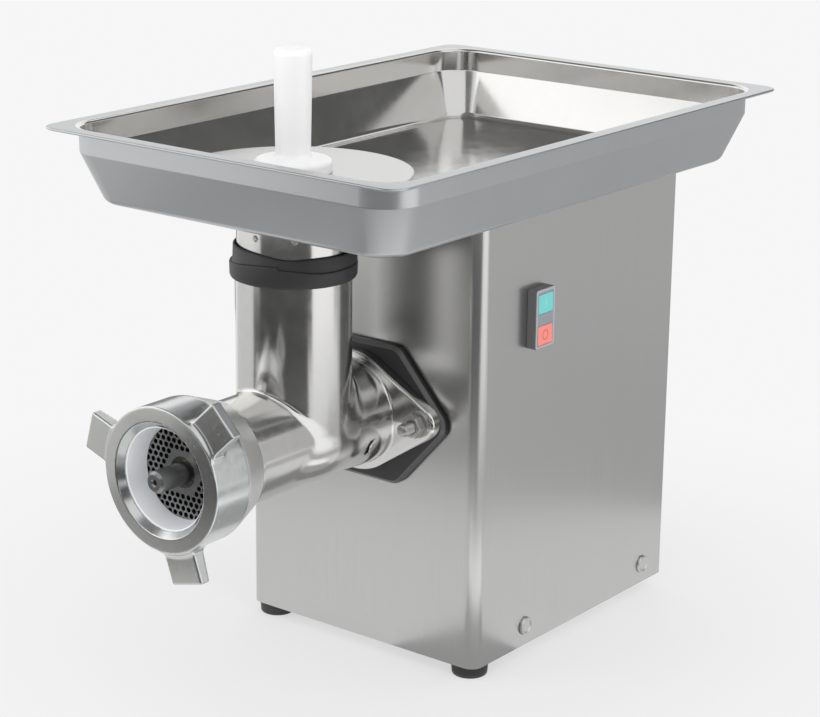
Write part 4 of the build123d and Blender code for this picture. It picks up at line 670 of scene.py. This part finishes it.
def tray_profiles():
    """Outside and inside of the tray from the rim down to the floor, as (inset, height) pairs."""
    foot = TRAY_RIM + TRAY_SLOPE_INSET
    lean = math.degrees(math.atan2(TRAY_SLOPE_INSET, TRAY_CREASE - TRAY_FLOOR))
    reach = math.tan(math.radians(45 - lean / 2))
    hem = (HEM_RADIUS, TRAY_TOP - HEM_RADIUS)
    crease = (TRAY_RIM + CREASE_ROUND, TRAY_CREASE + CREASE_LIFT)
    fold = (TRAY_RIM - FOLD_OUTSIDE, TRAY_TOP - 2 * HEM_RADIUS - FOLD_OUTSIDE)
    outside = arc_profile(hem, HEM_RADIUS, 180, 270, HEM_STEPS)
    outside += arc_profile(fold, FOLD_OUTSIDE, 90, 0, 5)
    outside += arc_profile(crease, CREASE_ROUND, 180, 180 + lean, 4)
    outside += arc_profile((foot + FOOT_OUTSIDE * reach, TRAY_FLOOR + FOOT_OUTSIDE),
                           FOOT_OUTSIDE, 180 + lean, 270, 10)
    fold = (TRAY_RIM + TRAY_SHEET - FOLD_INSIDE, TRAY_TOP - FOLD_INSIDE)
    inside = arc_profile(hem, HEM_RADIUS, 180, 90, HEM_STEPS)
    inside += arc_profile(fold, FOLD_INSIDE, 90, 0, 6)
    inside += arc_profile((crease[0] + TRAY_SHEET, crease[1]), CREASE_ROUND, 180, 180 + lean, 4)
    inside += arc_profile((foot + TRAY_SHEET + FOOT_INSIDE * reach, TRAY_FLOOR + TRAY_SHEET + FOOT_INSIDE),
                          FOOT_INSIDE, 180 + lean, 270, 10)
    return outside, inside


def model_tray():
    hole = FEED_HOLE + TRAY_SHEET
    floor = TRAY_FLOOR + TRAY_SHEET
    neck_end = floor - NECK_DEPTH
    outside, inside = tray_profiles()
    inner = [tray_ring(inset, z) for inset, z in inside]
    inner += floor_rings(inner[-1], FEED_HOLE + HOLE_ROUND, floor)
    inner += neck_rings(inner[-1], ((FEED_HOLE + HOLE_ROUND_MIDDLE, floor - HOLE_ROUND_MIDDLE),
                                    (FEED_HOLE, floor - HOLE_ROUND), (FEED_HOLE, neck_end)))
    outer = [tray_ring(inset, z) for inset, z in outside]
    outer += floor_rings(outer[-1], hole, TRAY_FLOOR)
    outer += neck_rings(outer[-1], ((hole, TRAY_FLOOR - NECK_START), (hole, neck_end)))
    rings = outer[::-1] + inner[1:]
    tray = loft_piece("tray_pressing", rings, closed=True)
    keep_flats(tray)
    paint(tray, TRAY_OUTSIDE_SHADED, TRAY_INSIDE)
    # Outside rows take the satin steel darkened as painted shade, and inside rows take the polished steel
    first_inside = len(outer) + HEM_STEPS - 1
    for polygon in tray.data.polygons:
        if first_inside <= polygon.index // len(rings[0]) < len(rings) - 1:
            polygon.material_index = 1
    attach(tray, "tray")
    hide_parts("tray_pan")


# Chute, as (radius, height) pairs in millimetres

CHUTE_STEPS = 128
CHUTE_PROFILE = ((48.5, 398.6), (48.9, 398.0), (49.5, 398.0), (50.0, 398.6), (50.0, 433.2),
                 (49.7, 433.5), (48.9, 433.7), (48.9, 434.6), (50.7, 434.8), (51.1, 435.2),
                 (51.2, 436.5), (51.9, 438.0), (53.2, 439.1), (53.6, 439.3), (48.5, 439.3))


def model_chute():
    """Chute with a seam groove and a flared collar under the tray's floor."""
    angle = np.linspace(0, FULL_TURN, CHUTE_STEPS, endpoint=False)
    rings = [np.column_stack([radius * np.cos(angle), TUBE_Y + radius * np.sin(angle),
                              np.full(CHUTE_STEPS, z)]) for radius, z in CHUTE_PROFILE]
    chute = loft_piece("feed_chute_tube", rings, closed=True)
    keep_flats(chute)
    paint(chute, POLISHED)
    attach(chute, "tray")
    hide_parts("feed_chute")


# Feed sleeve, with angles from the side that faces the viewer

SLEEVE_FACING = -52.2
SLEEVE_STEP = 3.0
STRIP_TOP = 400.0
STRIP_END = -11.0
STRIP_END_GAP = 1.2
STRIP_END_WALL = (-0.7, 0.1)
STRIP_RISE = 6.4
STRIP_RISE_RANGE = (276.0, 352.0)
STRIP_SETTLE = 3.8
STRIP_SETTLE_RANGE = (0.0, 46.0)
LIP_TOP = 414.0
LIP_WAVE = 2.6
LIP_DIP = (2.6, -4.0, 22.0)
LIP_FLARE = (2.6, 95.0, 42.0)


def swell(angle, size, middle, width):
    return size * math.exp(-((angle - middle) / width) ** 2)


def sleeve_profile(angle):
    """Rubber strip's section at an angle, as (radius, height)."""
    around = (angle - STRIP_END) % 360.0
    rise = STRIP_RISE * smooth_step(around, *STRIP_RISE_RANGE)
    settled = STRIP_SETTLE * (1.0 - smooth_step(around, *STRIP_SETTLE_RANGE))
    strip = STRIP_TOP + rise + settled
    lip = LIP_TOP + LIP_WAVE * math.cos(math.radians(angle + 90.0)) - swell(angle, *LIP_DIP)
    flare = swell(angle, *LIP_FLARE)
    return [(51.75, 386.7), (53.8, 386.6), (55.4, 387.3), (56.1, 389.0), (56.35, strip - 1.4),
            (56.1, strip - 0.4), (55.3, strip), (54.2, strip - 0.5), (53.5 + flare, strip + 0.6),
            (53.0 + flare, lip - 1.2), (52.4 + flare, lip - 0.2), (51.5 + flare, lip),
            (50.7 + flare, lip - 0.8), (50.6 + 0.3 * flare, 402.0), (51.0, 397.6), (51.75, 397.2)]


def model_sleeve():
    """Rubber band whose outer strip laps over its own end."""
    angles = np.concatenate([np.arange(-180.0, STRIP_END - STRIP_END_GAP, SLEEVE_STEP),
                             [STRIP_END + shift for shift in STRIP_END_WALL],
                             np.arange(STRIP_END + STRIP_END_GAP, 180.0 - SLEEVE_STEP / 2, SLEEVE_STEP)])
    rings = []
    for angle in angles:
        turn = math.radians(angle + SLEEVE_FACING)
        rings.append([(radius * math.cos(turn), TUBE_Y + radius * math.sin(turn), z)
                      for radius, z in sleeve_profile(angle)])
    sleeve = loft_piece("feed_sleeve_rubber", rings, closed=True)
    sleeve.data.flip_normals()
    paint(sleeve, RUBBER)
    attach(sleeve, "housing")
    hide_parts("feed_sleeve")


# Switch, in millimetres

SWITCH_Y = 28.0
SWITCH_Z = 333.4
SWITCH_TALLER = 13.0
SWITCH_CORNER_STEPS = 6
START_Z = 347.3
STOP_Z = 317.7

# Rings of the frame, as (half width, corner, x)
FRAME_RINGS = ((15.0, 3.0, 133.2), (15.0, 3.0, 141.6), (14.85, 2.9, 142.4), (14.5, 2.6, 142.85),
               (14.0, 2.3, 143.0), (12.4, 1.5, 143.0), (12.2, 1.4, 142.85), (12.1, 1.3, 142.5))
# First row of frame faces that takes the painted sheen of the front border
FRAME_SHEEN_FIRST_ROW = 3

# Outlines of the face and its openings, as (half width, half height, corner)
FACE_X = 142.7
FACE_OUTLINE = (12.2, 25.2, 1.4)
FACE_OPENING = (11.6, 9.4, 1.6)
FACE_OPENING_DEPTH = 5.0

# Rings of a button, as (half width, half height, corner, x)
BUTTON_RINGS = ((11.3, 9.1, 1.5, 134.0), (11.3, 9.1, 1.5, 142.7), (11.15, 8.95, 1.4, 143.0),
                (10.7, 8.5, 1.1, 143.15), (9.5, 7.3, 0.9, 143.2), (5.0, 4.0, 0.5, 143.25))

# Rings of the marks, as (half width, half height, x) and (half width, x)
BAR_RINGS = ((0.55, 3.6, 143.1), (0.55, 3.6, 143.32), (0.4, 3.4, 143.38))
BAR_CORNER = 0.6
RING_RINGS = ((4.4, 143.1), (4.4, 143.32), (4.2, 143.38), (3.5, 143.38), (3.3, 143.32), (3.3, 143.1))
RING_TALLER = 1.15
RING_CORNER = 0.999


def side_outline(half_y, half_z, corner, x, middle_z):
    """Rounded rectangle in a plane of constant x, on the switch's upright middle line."""
    flat = np.concatenate(corner_arcs(half_y, half_z, corner, SWITCH_CORNER_STEPS))
    return np.column_stack([np.full(len(flat), x), SWITCH_Y + flat[:, 0], middle_z + flat[:, 1]])


def holed_plate(name, outline, holes, depth):
    """Flat plate with openings, whose walls go back by a depth along x."""
    model = bmesh.new()
    edges = []
    for loop in [outline] + holes:
        corners = [model.verts.new(Vector(point) * MM) for point in loop]
        edges += [model.edges.new((a, b)) for a, b in zip(corners, corners[1:] + corners[:1])]
    bmesh.ops.triangle_fill(model, use_beauty=True, use_dissolve=False, edges=edges)
    for loop in holes:
        front = [model.verts.new(Vector(point) * MM) for point in loop]
        back = [model.verts.new((Vector(point) - Vector((depth, 0, 0))) * MM) for point in loop]
        for i in range(len(loop)):
            j = (i + 1) % len(loop)
            model.faces.new((front[i], front[j], back[j], back[i]))
        model.faces.new(back)
    return edited_piece(name, model)


def model_switch():
    rings = [side_outline(half, half + SWITCH_TALLER, corner, x, SWITCH_Z) for half, corner, x in FRAME_RINGS]
    surround = loft_piece("switch_frame", rings)
    keep_flats(surround)
    paint(surround, SWITCH_SIDE_LIGHT, SWITCH_BORDER_SHEEN)
    # Front rows of the frame take the painted sheen, and the sides take the painted side light
    for polygon in surround.data.polygons:
        polygon.material_index = 1 if polygon.index // len(rings[0]) >= FRAME_SHEEN_FIRST_ROW else 0
    holes = [side_outline(*FACE_OPENING, FACE_X, z) for z in (START_Z, STOP_Z)]
    outline = side_outline(*FACE_OUTLINE, FACE_X, SWITCH_Z)
    face = holed_plate("switch_face", outline, holes, FACE_OPENING_DEPTH)
    # The face is black plastic painted grey as a painted sheen
    paint(face, SWITCH_FACE_SHEEN)
    for piece in (surround, face):
        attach(piece, "housing")
    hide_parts("switch_housing")


def model_button(name, middle_z, material, body, node):
    rings = [side_outline(*ring, middle_z) for ring in BUTTON_RINGS]
    button = loft_piece(name, rings, ends=(True, True))
    keep_flats(button)
    paint(button, material)
    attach(button, body)
    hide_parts(node)


def model_marks():
    """Raised bar on the start button and raised ring on the stop button."""
    rings = [side_outline(half, length, half * BAR_CORNER, x, START_Z) for half, length, x in BAR_RINGS]
    bar = loft_piece("start_mark", rings, ends=(False, True))
    paint(bar, GREEN_MARK)
    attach(bar, "start_body")
    rings = [side_outline(half, half * RING_TALLER, half * RING_CORNER, x, STOP_Z) for half, x in RING_RINGS]
    ring = loft_piece("stop_mark", rings)
    paint(ring, RED_MARK)
    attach(ring, "stop_body")


# Head gasket, in millimetres

GASKET_CORNERS = ((105.0, 0.0), (46.0, 66.0), (-46.0, 66.0), (-105.0, 0.0), (-46.0, -66.0), (46.0, -66.0))
GASKET_ROUND = 16.0
GASKET_ROUND_STEPS = 8
GASKET_BORE = 43.0
GASKET_FRONT = -66.0
GASKET_BACK = -58.0

# Rings of the edge from the back to the front, as (inset, y), and the rows of faces on its bevel, which take
# a lighter rubber as a painted sheen
GASKET_EDGE = ((0.0, GASKET_BACK), (0.0, -62.8), (0.12, -63.2), (2.5, -65.6), (2.9, -65.92),
               (3.4, GASKET_FRONT))
GASKET_SHEEN_ROWS = range(1, 5)


def gasket_ring(inset, y):
    """Six-sided outline with rounded corners, moved inward by an inset."""
    corners = np.array(GASKET_CORNERS)
    sides = np.roll(corners, -1, axis=0) - corners
    sides /= np.linalg.norm(sides, axis=1)[:, None]
    normals = np.stack([sides[:, 1], -sides[:, 0]], axis=1)
    points = []
    for corner, before, after in zip(corners, np.roll(normals, 1, axis=0), normals):
        middle = corner - (before + after) * GASKET_ROUND / (1.0 + before @ after)
        start = math.atan2(before[1], before[0])
        sweep = (math.atan2(after[1], after[0]) - start) % FULL_TURN
        for step in range(GASKET_ROUND_STEPS + 1):
            angle = start + sweep * step / GASKET_ROUND_STEPS
            x, up = middle + (GASKET_ROUND - inset) * np.array((math.cos(angle), math.sin(angle)))
            points.append((x, y, HEAD_Z + up))
    return np.array(points)


def bore_ring(outline, y):
    """Circle of the bore with one point for each point of an outline."""
    angle = np.arctan2(outline[:, 2] - HEAD_Z, outline[:, 0])
    return np.column_stack([GASKET_BORE * np.cos(angle), np.full(len(angle), y),
                            HEAD_Z + GASKET_BORE * np.sin(angle)])


def model_gasket():
    """Rubber plate whose front edge has a wide bevel, painted lighter as a painted sheen."""
    rings = [gasket_ring(inset, y) for inset, y in GASKET_EDGE]
    rings += [bore_ring(rings[-1], y) for y in (GASKET_FRONT, GASKET_BACK)]
    gasket = loft_piece("head_gasket_rubber", rings, closed=True)
    keep_flats(gasket)
    paint(gasket, RUBBER, RUBBER_SHEEN)
    # The bevel rows take the painted sheen
    for polygon in gasket.data.polygons:
        polygon.material_index = 1 if polygon.index // len(rings[0]) in GASKET_SHEEN_ROWS else 0
    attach(gasket, "housing")
    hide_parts("head_gasket")


# Side caps, in millimetres

CAP_WALLS = ((1, "right_caps", 133.0), (-1, "left_caps", -140.0))
CAP_Y = (22.0, 225.0)
CAP_Z = 31.5
CAP_STEPS = 48

# Section of a cap from its middle outward, as (radius, height off the wall)
CAP_PROFILE = ((0.4, 1.5), (4.5, 1.5), (5.8, 1.65), (6.5, 2.1), (7.0, 2.6), (7.5, 2.75), (8.1, 2.6),
               (8.6, 2.1), (8.9, 1.2), (9.0, 0.3))


def add_cap(model, side, wall, y):
    """One dished cap, added to an edited mesh."""
    rings = []
    for radius, height in CAP_PROFILE:
        ring = []
        for step in range(CAP_STEPS):
            angle = FULL_TURN * step / CAP_STEPS
            place = (wall + side * height, y + radius * math.cos(angle), CAP_Z + radius * math.sin(angle))
            ring.append(model.verts.new(Vector(place) * MM))
        rings.append(ring)
    for a, b in zip(rings, rings[1:]):
        for i in range(CAP_STEPS):
            j = (i + 1) % CAP_STEPS
            model.faces.new((a[i], b[i], b[j], a[j]) if side > 0 else (a[i], a[j], b[j], b[i]))
    model.faces.new(rings[0] if side > 0 else rings[0][::-1])


def model_caps():
    """Dished caps low on both sides, in one piece each side."""
    for side, name, wall in CAP_WALLS:
        model = bmesh.new()
        for y in CAP_Y:
            add_cap(model, side, wall, y)
        caps = edited_piece(name, model)
        caps.data.shade_smooth()
        paint(caps, SATIN)
        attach(caps, "housing")
        if side > 0:
            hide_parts("side_cap_screws")


# Studs and hexagon nuts, in millimetres

STUD_X = 80.0
STUD_Z = 245.0
STUD_STEPS = 48
STUD_PITCH = 1.75
STUD_RADIUS = 5.62
STUD_THREAD_DEPTH = 0.34
STUD_THREAD_Y = np.arange(-79.0, -101.2, -0.22)
STUD_END = ((5.2, -101.6), (4.6, -102.2), (3.6, -102.65), (2.2, -102.9), (0.8, -103.0))

HEX_HALF_FLATS = 9.5
HEX_HALF_HEIGHT = 5.0
HEX_BORE = 6.1
HEX_EDGE = 0.5
HEX_Y = -84.5
HEX_GRID = ((-12, -6, -12), (12, 6, 12), 0.5)
CHAMFER_RADIUS = 10.0
CHAMFER_HEIGHT = 4.6
CHAMFER_SLOPE = (0.5, 0.866)


def model_studs():
    """Studs with a turned thread and a domed end."""
    angle = np.linspace(0, FULL_TURN, STUD_STEPS, endpoint=False)
    section = [(STUD_RADIUS + STUD_THREAD_DEPTH * np.cos(FULL_TURN * y / STUD_PITCH - angle), y)
               for y in STUD_THREAD_Y]
    section += STUD_END
    for side, name in ((1, "right_stud"), (-1, "left_stud")):
        rings = [np.column_stack([side * STUD_X + radius * np.cos(angle), np.full(STUD_STEPS, y),
                                  STUD_Z + radius * np.sin(angle)]) for radius, y in section]
        stud = loft_piece(name, rings, ends=(False, True))
        stud.data.flip_normals()
        paint(stud, FASTENER)
        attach(stud, "housing")
        if side > 0:
            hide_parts("head_studs")


def nut_hex_field(x, y, z):
    """Hexagon nut round the origin, with chamfered corners and a plain bore."""
    angles = [math.radians(90 + 60 * turn) for turn in range(3)]
    flats = np.maximum.reduce([np.abs(x * math.cos(angle) + z * math.sin(angle)) for angle in angles])
    rho = np.hypot(x, z)
    body = np.maximum(flats - HEX_HALF_FLATS, np.abs(y) - HEX_HALF_HEIGHT)
    cone = (rho - CHAMFER_RADIUS) * CHAMFER_SLOPE[0] + (np.abs(y) - CHAMFER_HEIGHT) * CHAMFER_SLOPE[1]
    return smooth_cut(smooth_overlap(body, cone, HEX_EDGE), rho - HEX_BORE, HEX_EDGE)


def model_hex_nuts():
    for side, name in ((1, "right_hex_nut"), (-1, "left_hex_nut")):
        nut = field_piece(name, nut_hex_field, *HEX_GRID)
        nut.data.transform(Matrix.Translation(Vector((side * STUD_X, HEX_Y, STUD_Z)) * MM))
        paint(nut, FASTENER)
        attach(nut, "housing")
        if side > 0:
            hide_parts("head_nuts")


# Studio, in metres

BACKGROUND = (0.922, 0.922, 0.922, 1.0)
LIGHT_STRENGTH = 1.06
FLOOR_HALF = 9
FLOOR_SHADE = (0.78, 0.78, 0.78, 1.0)
FLOOR_ROUGHNESS = 0.9
FLOOR_FADE = {"From Min": 0.25, "From Max": 0.75, "To Min": 0.6, "To Max": 1.0}
CARD_DISTANCE = 1.2
CARD_STEPS = 16
LEVEL_CARD_STEPS = 24
FLOOR_CARD_Z = 0.004
CEILING_Z = 1.5

# Lamps, as (name, place, aim, size, power)
LAMPS = (
    ("key_light", (-1.4, -1.9, 0.9), (0, 0, 0.4), (1.4, 1.0), 13),
    ("right_light", (2.2, -0.6, 0.9), (0, 0, 0.4), (1.2, 1.0), 13),
    ("rear_light", (-0.8, 2.2, 1.2), (0, 0, 0.3), (1.6, 1.2), 3),
)

# Upright cards, as (name, first azimuth, last azimuth, bottom, top, level)
CARDS = (
    ("card_front_low", -24, 69, 0.0, 0.24, 0.06),
    ("card_front_middle", -24, 69, 0.24, 0.4, 0.7),
    ("card_front_high", -24, 69, 0.4, 0.8, 0.06),
    ("card_left_dark", -38, -24, 0.0, 0.13, 0.1),
    ("card_left_low", -92, -38, 0.0, 0.13, 0.72),
    ("card_left_middle", -92, -24, 0.13, 0.44, 0.95),
    ("card_left_softbox", -100, -10, 0.45, 1.3, 1.4),
    ("card_right", 69, 118, 0.0, 1.2, 1.15),
    ("card_right_rear_low", 118, 180, 0.0, 0.72, 0.54),
    ("card_right_rear_high", 128, 180, 0.74, 1.6, 0.12),
    ("card_rear_low", 180, 250, 0.0, 0.5, 0.25),
    ("card_rear_high", 180, 250, 0.55, 1.1, 1.1),
)

# Level cards, as (name, first azimuth, last azimuth, near, far, height, level)
LEVEL_CARDS = (
    ("card_ceiling", -150, 10, 0.0, 1.2, CEILING_Z, 0.2),
    ("floor_front_near", -95, 20, 0.12, 0.56, FLOOR_CARD_Z, 0.80),
    ("floor_front_middle", -95, -28, 0.56, 0.78, FLOOR_CARD_Z, 0.40),
    ("floor_front_right", -28, 20, 0.56, 0.78, FLOOR_CARD_Z, 0.26),
    ("floor_front_far", -38, 60, 0.78, 1.3, FLOOR_CARD_Z, 0.12),
    ("floor_left_far", -95, -38, 0.78, 1.3, FLOOR_CARD_Z, 0.70),
    ("floor_corner_near", 20, 100, 0.05, 0.3, FLOOR_CARD_Z, 0.42),
    ("floor_corner_middle", 20, 100, 0.3, 0.5, FLOOR_CARD_Z, 1.2),
    ("floor_corner_far", 20, 100, 0.5, 0.78, FLOOR_CARD_Z, 0.4),
    ("floor_right_near", 100, 190, 0.2, 0.5, FLOOR_CARD_Z, 0.78),
    ("floor_right_middle", 100, 128, 0.5, 0.85, FLOOR_CARD_Z, 0.5),
    ("floor_right_far", 128, 190, 0.5, 2.0, FLOOR_CARD_Z, 0.5),
)


def place_camera():
    azimuth = math.radians(CAMERA_AZIMUTH)
    elevation = math.radians(CAMERA_ELEVATION)
    roll = math.radians(CAMERA_ROLL)
    back = Vector((math.sin(azimuth) * math.cos(elevation), -math.cos(azimuth) * math.cos(elevation),
                   math.sin(elevation)))
    right = Vector((math.cos(azimuth), math.sin(azimuth), 0.0))
    up = back.cross(right)
    across = math.cos(roll) * right + math.sin(roll) * up
    over = math.cos(roll) * up - math.sin(roll) * right
    data = bpy.data.cameras.new("camera")
    data.sensor_width = SENSOR
    data.lens = FOCAL_PIXELS / IMAGE_WIDTH * SENSOR
    data.clip_end = CAMERA_REACH
    camera = add_piece("camera", data)
    turn = Matrix((across, over, back)).transposed().to_4x4()
    camera.matrix_world = Matrix.Translation(CAMERA_PLACE) @ turn
    bpy.context.scene.camera = camera


def glow(name, level):
    material = bpy.data.materials.new(name)
    material.use_nodes = True
    tree = material.node_tree
    tree.nodes.clear()
    out = add_node(tree, "ShaderNodeOutputMaterial")
    light = add_node(tree, "ShaderNodeEmission", {"Color": (level, level, level, 1.0)})
    tree.links.new(light.outputs["Emission"], out.inputs["Surface"])
    return material


def reflected_only(piece, level):
    """Lets only reflections see a card that glows at a level."""
    paint(piece, glow(piece.name, level))
    piece.visible_camera = False
    piece.visible_diffuse = False
    piece.visible_shadow = False


def compass(azimuth, distance):
    """Place at a distance from the middle, with azimuth 0 in front and 90 at the right."""
    angle = math.radians(azimuth)
    return distance * math.sin(angle), -distance * math.cos(angle)


def card(name, first, last, bottom, top, level):
    """Upright studio card between two azimuths."""
    points = []
    for azimuth in np.linspace(first, last, CARD_STEPS + 1):
        x, y = compass(azimuth, CARD_DISTANCE)
        points += [(x, y, bottom), (x, y, top)]
    faces = [(2 * i, 2 * i + 2, 2 * i + 3, 2 * i + 1) for i in range(CARD_STEPS)]
    reflected_only(mesh_piece(name, points, faces), level)


def level_card(name, first, last, near, far, height, level):
    """Level studio card, a ring's sector between two azimuths."""
    points = []
    for azimuth in np.linspace(first, last, LEVEL_CARD_STEPS + 1):
        points += [(*compass(azimuth, near), height), (*compass(azimuth, far), height)]
    faces = [(2 * i, 2 * i + 1, 2 * i + 3, 2 * i + 2) for i in range(LEVEL_CARD_STEPS)]
    reflected_only(mesh_piece(name, points, faces), level)


def lamp(name, place, aim, size, power):
    data = bpy.data.lights.new(name, "AREA")
    data.shape = "RECTANGLE"
    data.size, data.size_y = size
    data.energy = power
    light = add_piece(name, data)
    light.location = place
    light.rotation_euler = (Vector(aim) - Vector(place)).to_track_quat("-Z", "Y").to_euler()
    light.visible_camera = False
    light.visible_glossy = False


def lay_floor():
    """Pale floor that keeps the object's shadow and turns into the plain background further out."""
    corners = [(-FLOOR_HALF, -FLOOR_HALF, 0), (FLOOR_HALF, -FLOOR_HALF, 0),
               (FLOOR_HALF, FLOOR_HALF, 0), (-FLOOR_HALF, FLOOR_HALF, 0)]
    floor = mesh_piece("floor", corners, [(0, 1, 2, 3)])
    material, tree, shader = new_material("floor_paper")
    shader.inputs["Base Color"].default_value = FLOOR_SHADE
    shader.inputs["Roughness"].default_value = FLOOR_ROUGHNESS
    shader.inputs["Specular IOR Level"].default_value = 0.0
    plain = add_node(tree, "ShaderNodeEmission", {"Color": BACKGROUND})
    place = add_node(tree, "ShaderNodeTexCoord")
    reach = add_node(tree, "ShaderNodeVectorMath", operation="LENGTH")
    share = add_node(tree, "ShaderNodeMapRange", FLOOR_FADE)
    mix = add_node(tree, "ShaderNodeMixShader")
    tree.links.new(place.outputs["Object"], reach.inputs[0])
    tree.links.new(reach.outputs["Value"], share.inputs["Value"])
    tree.links.new(share.outputs["Result"], mix.inputs["Fac"])
    tree.links.new(shader.outputs["BSDF"], mix.inputs[1])
    tree.links.new(plain.outputs["Emission"], mix.inputs[2])
    tree.links.new(mix.outputs["Shader"], tree.nodes["Material Output"].inputs["Surface"])
    paint(floor, material)


def surround_studio():
    """World that camera, reflections and glass see as the plain background, and that lights the rest."""
    world = bpy.data.worlds.new("studio")
    bpy.context.scene.world = world
    world.use_nodes = True
    tree = world.node_tree
    sky = tree.nodes["Background"]
    sky.inputs["Color"].default_value = BACKGROUND
    sky.inputs["Strength"].default_value = 1.0
    light = add_node(tree, "ShaderNodeBackground", {"Color": BACKGROUND, "Strength": LIGHT_STRENGTH})
    path = add_node(tree, "ShaderNodeLightPath")
    seen = add_node(tree, "ShaderNodeMath", operation="MAXIMUM")
    also = add_node(tree, "ShaderNodeMath", operation="MAXIMUM")
    mix = add_node(tree, "ShaderNodeMixShader")
    tree.links.new(path.outputs["Is Camera Ray"], seen.inputs[0])
    tree.links.new(path.outputs["Is Glossy Ray"], seen.inputs[1])
    tree.links.new(seen.outputs["Value"], also.inputs[0])
    tree.links.new(path.outputs["Is Transmission Ray"], also.inputs[1])
    tree.links.new(also.outputs["Value"], mix.inputs["Fac"])
    tree.links.new(light.outputs["Background"], mix.inputs[1])
    tree.links.new(sky.outputs["Background"], mix.inputs[2])
    tree.links.new(mix.outputs["Shader"], tree.nodes["World Output"].inputs["Surface"])


def light_studio():
    surround_studio()
    for row in LAMPS:
        lamp(*row)
    for row in CARDS:
        card(*row)
    for row in LEVEL_CARDS:
        level_card(*row)


dress_nodes()
model_head()
model_nut()
model_tray()
model_chute()
model_sleeve()
model_switch()
model_button("start_button_cap", START_Z, GREEN, "start_body", "start_button")
model_button("stop_button_cap", STOP_Z, RED, "stop_body", "stop_button")
model_marks()
model_gasket()
model_caps()
model_studs()
model_hex_nuts()
place_camera()
lay_floor()
light_studio()
bpy.context.scene.view_settings.view_transform = "Standard"
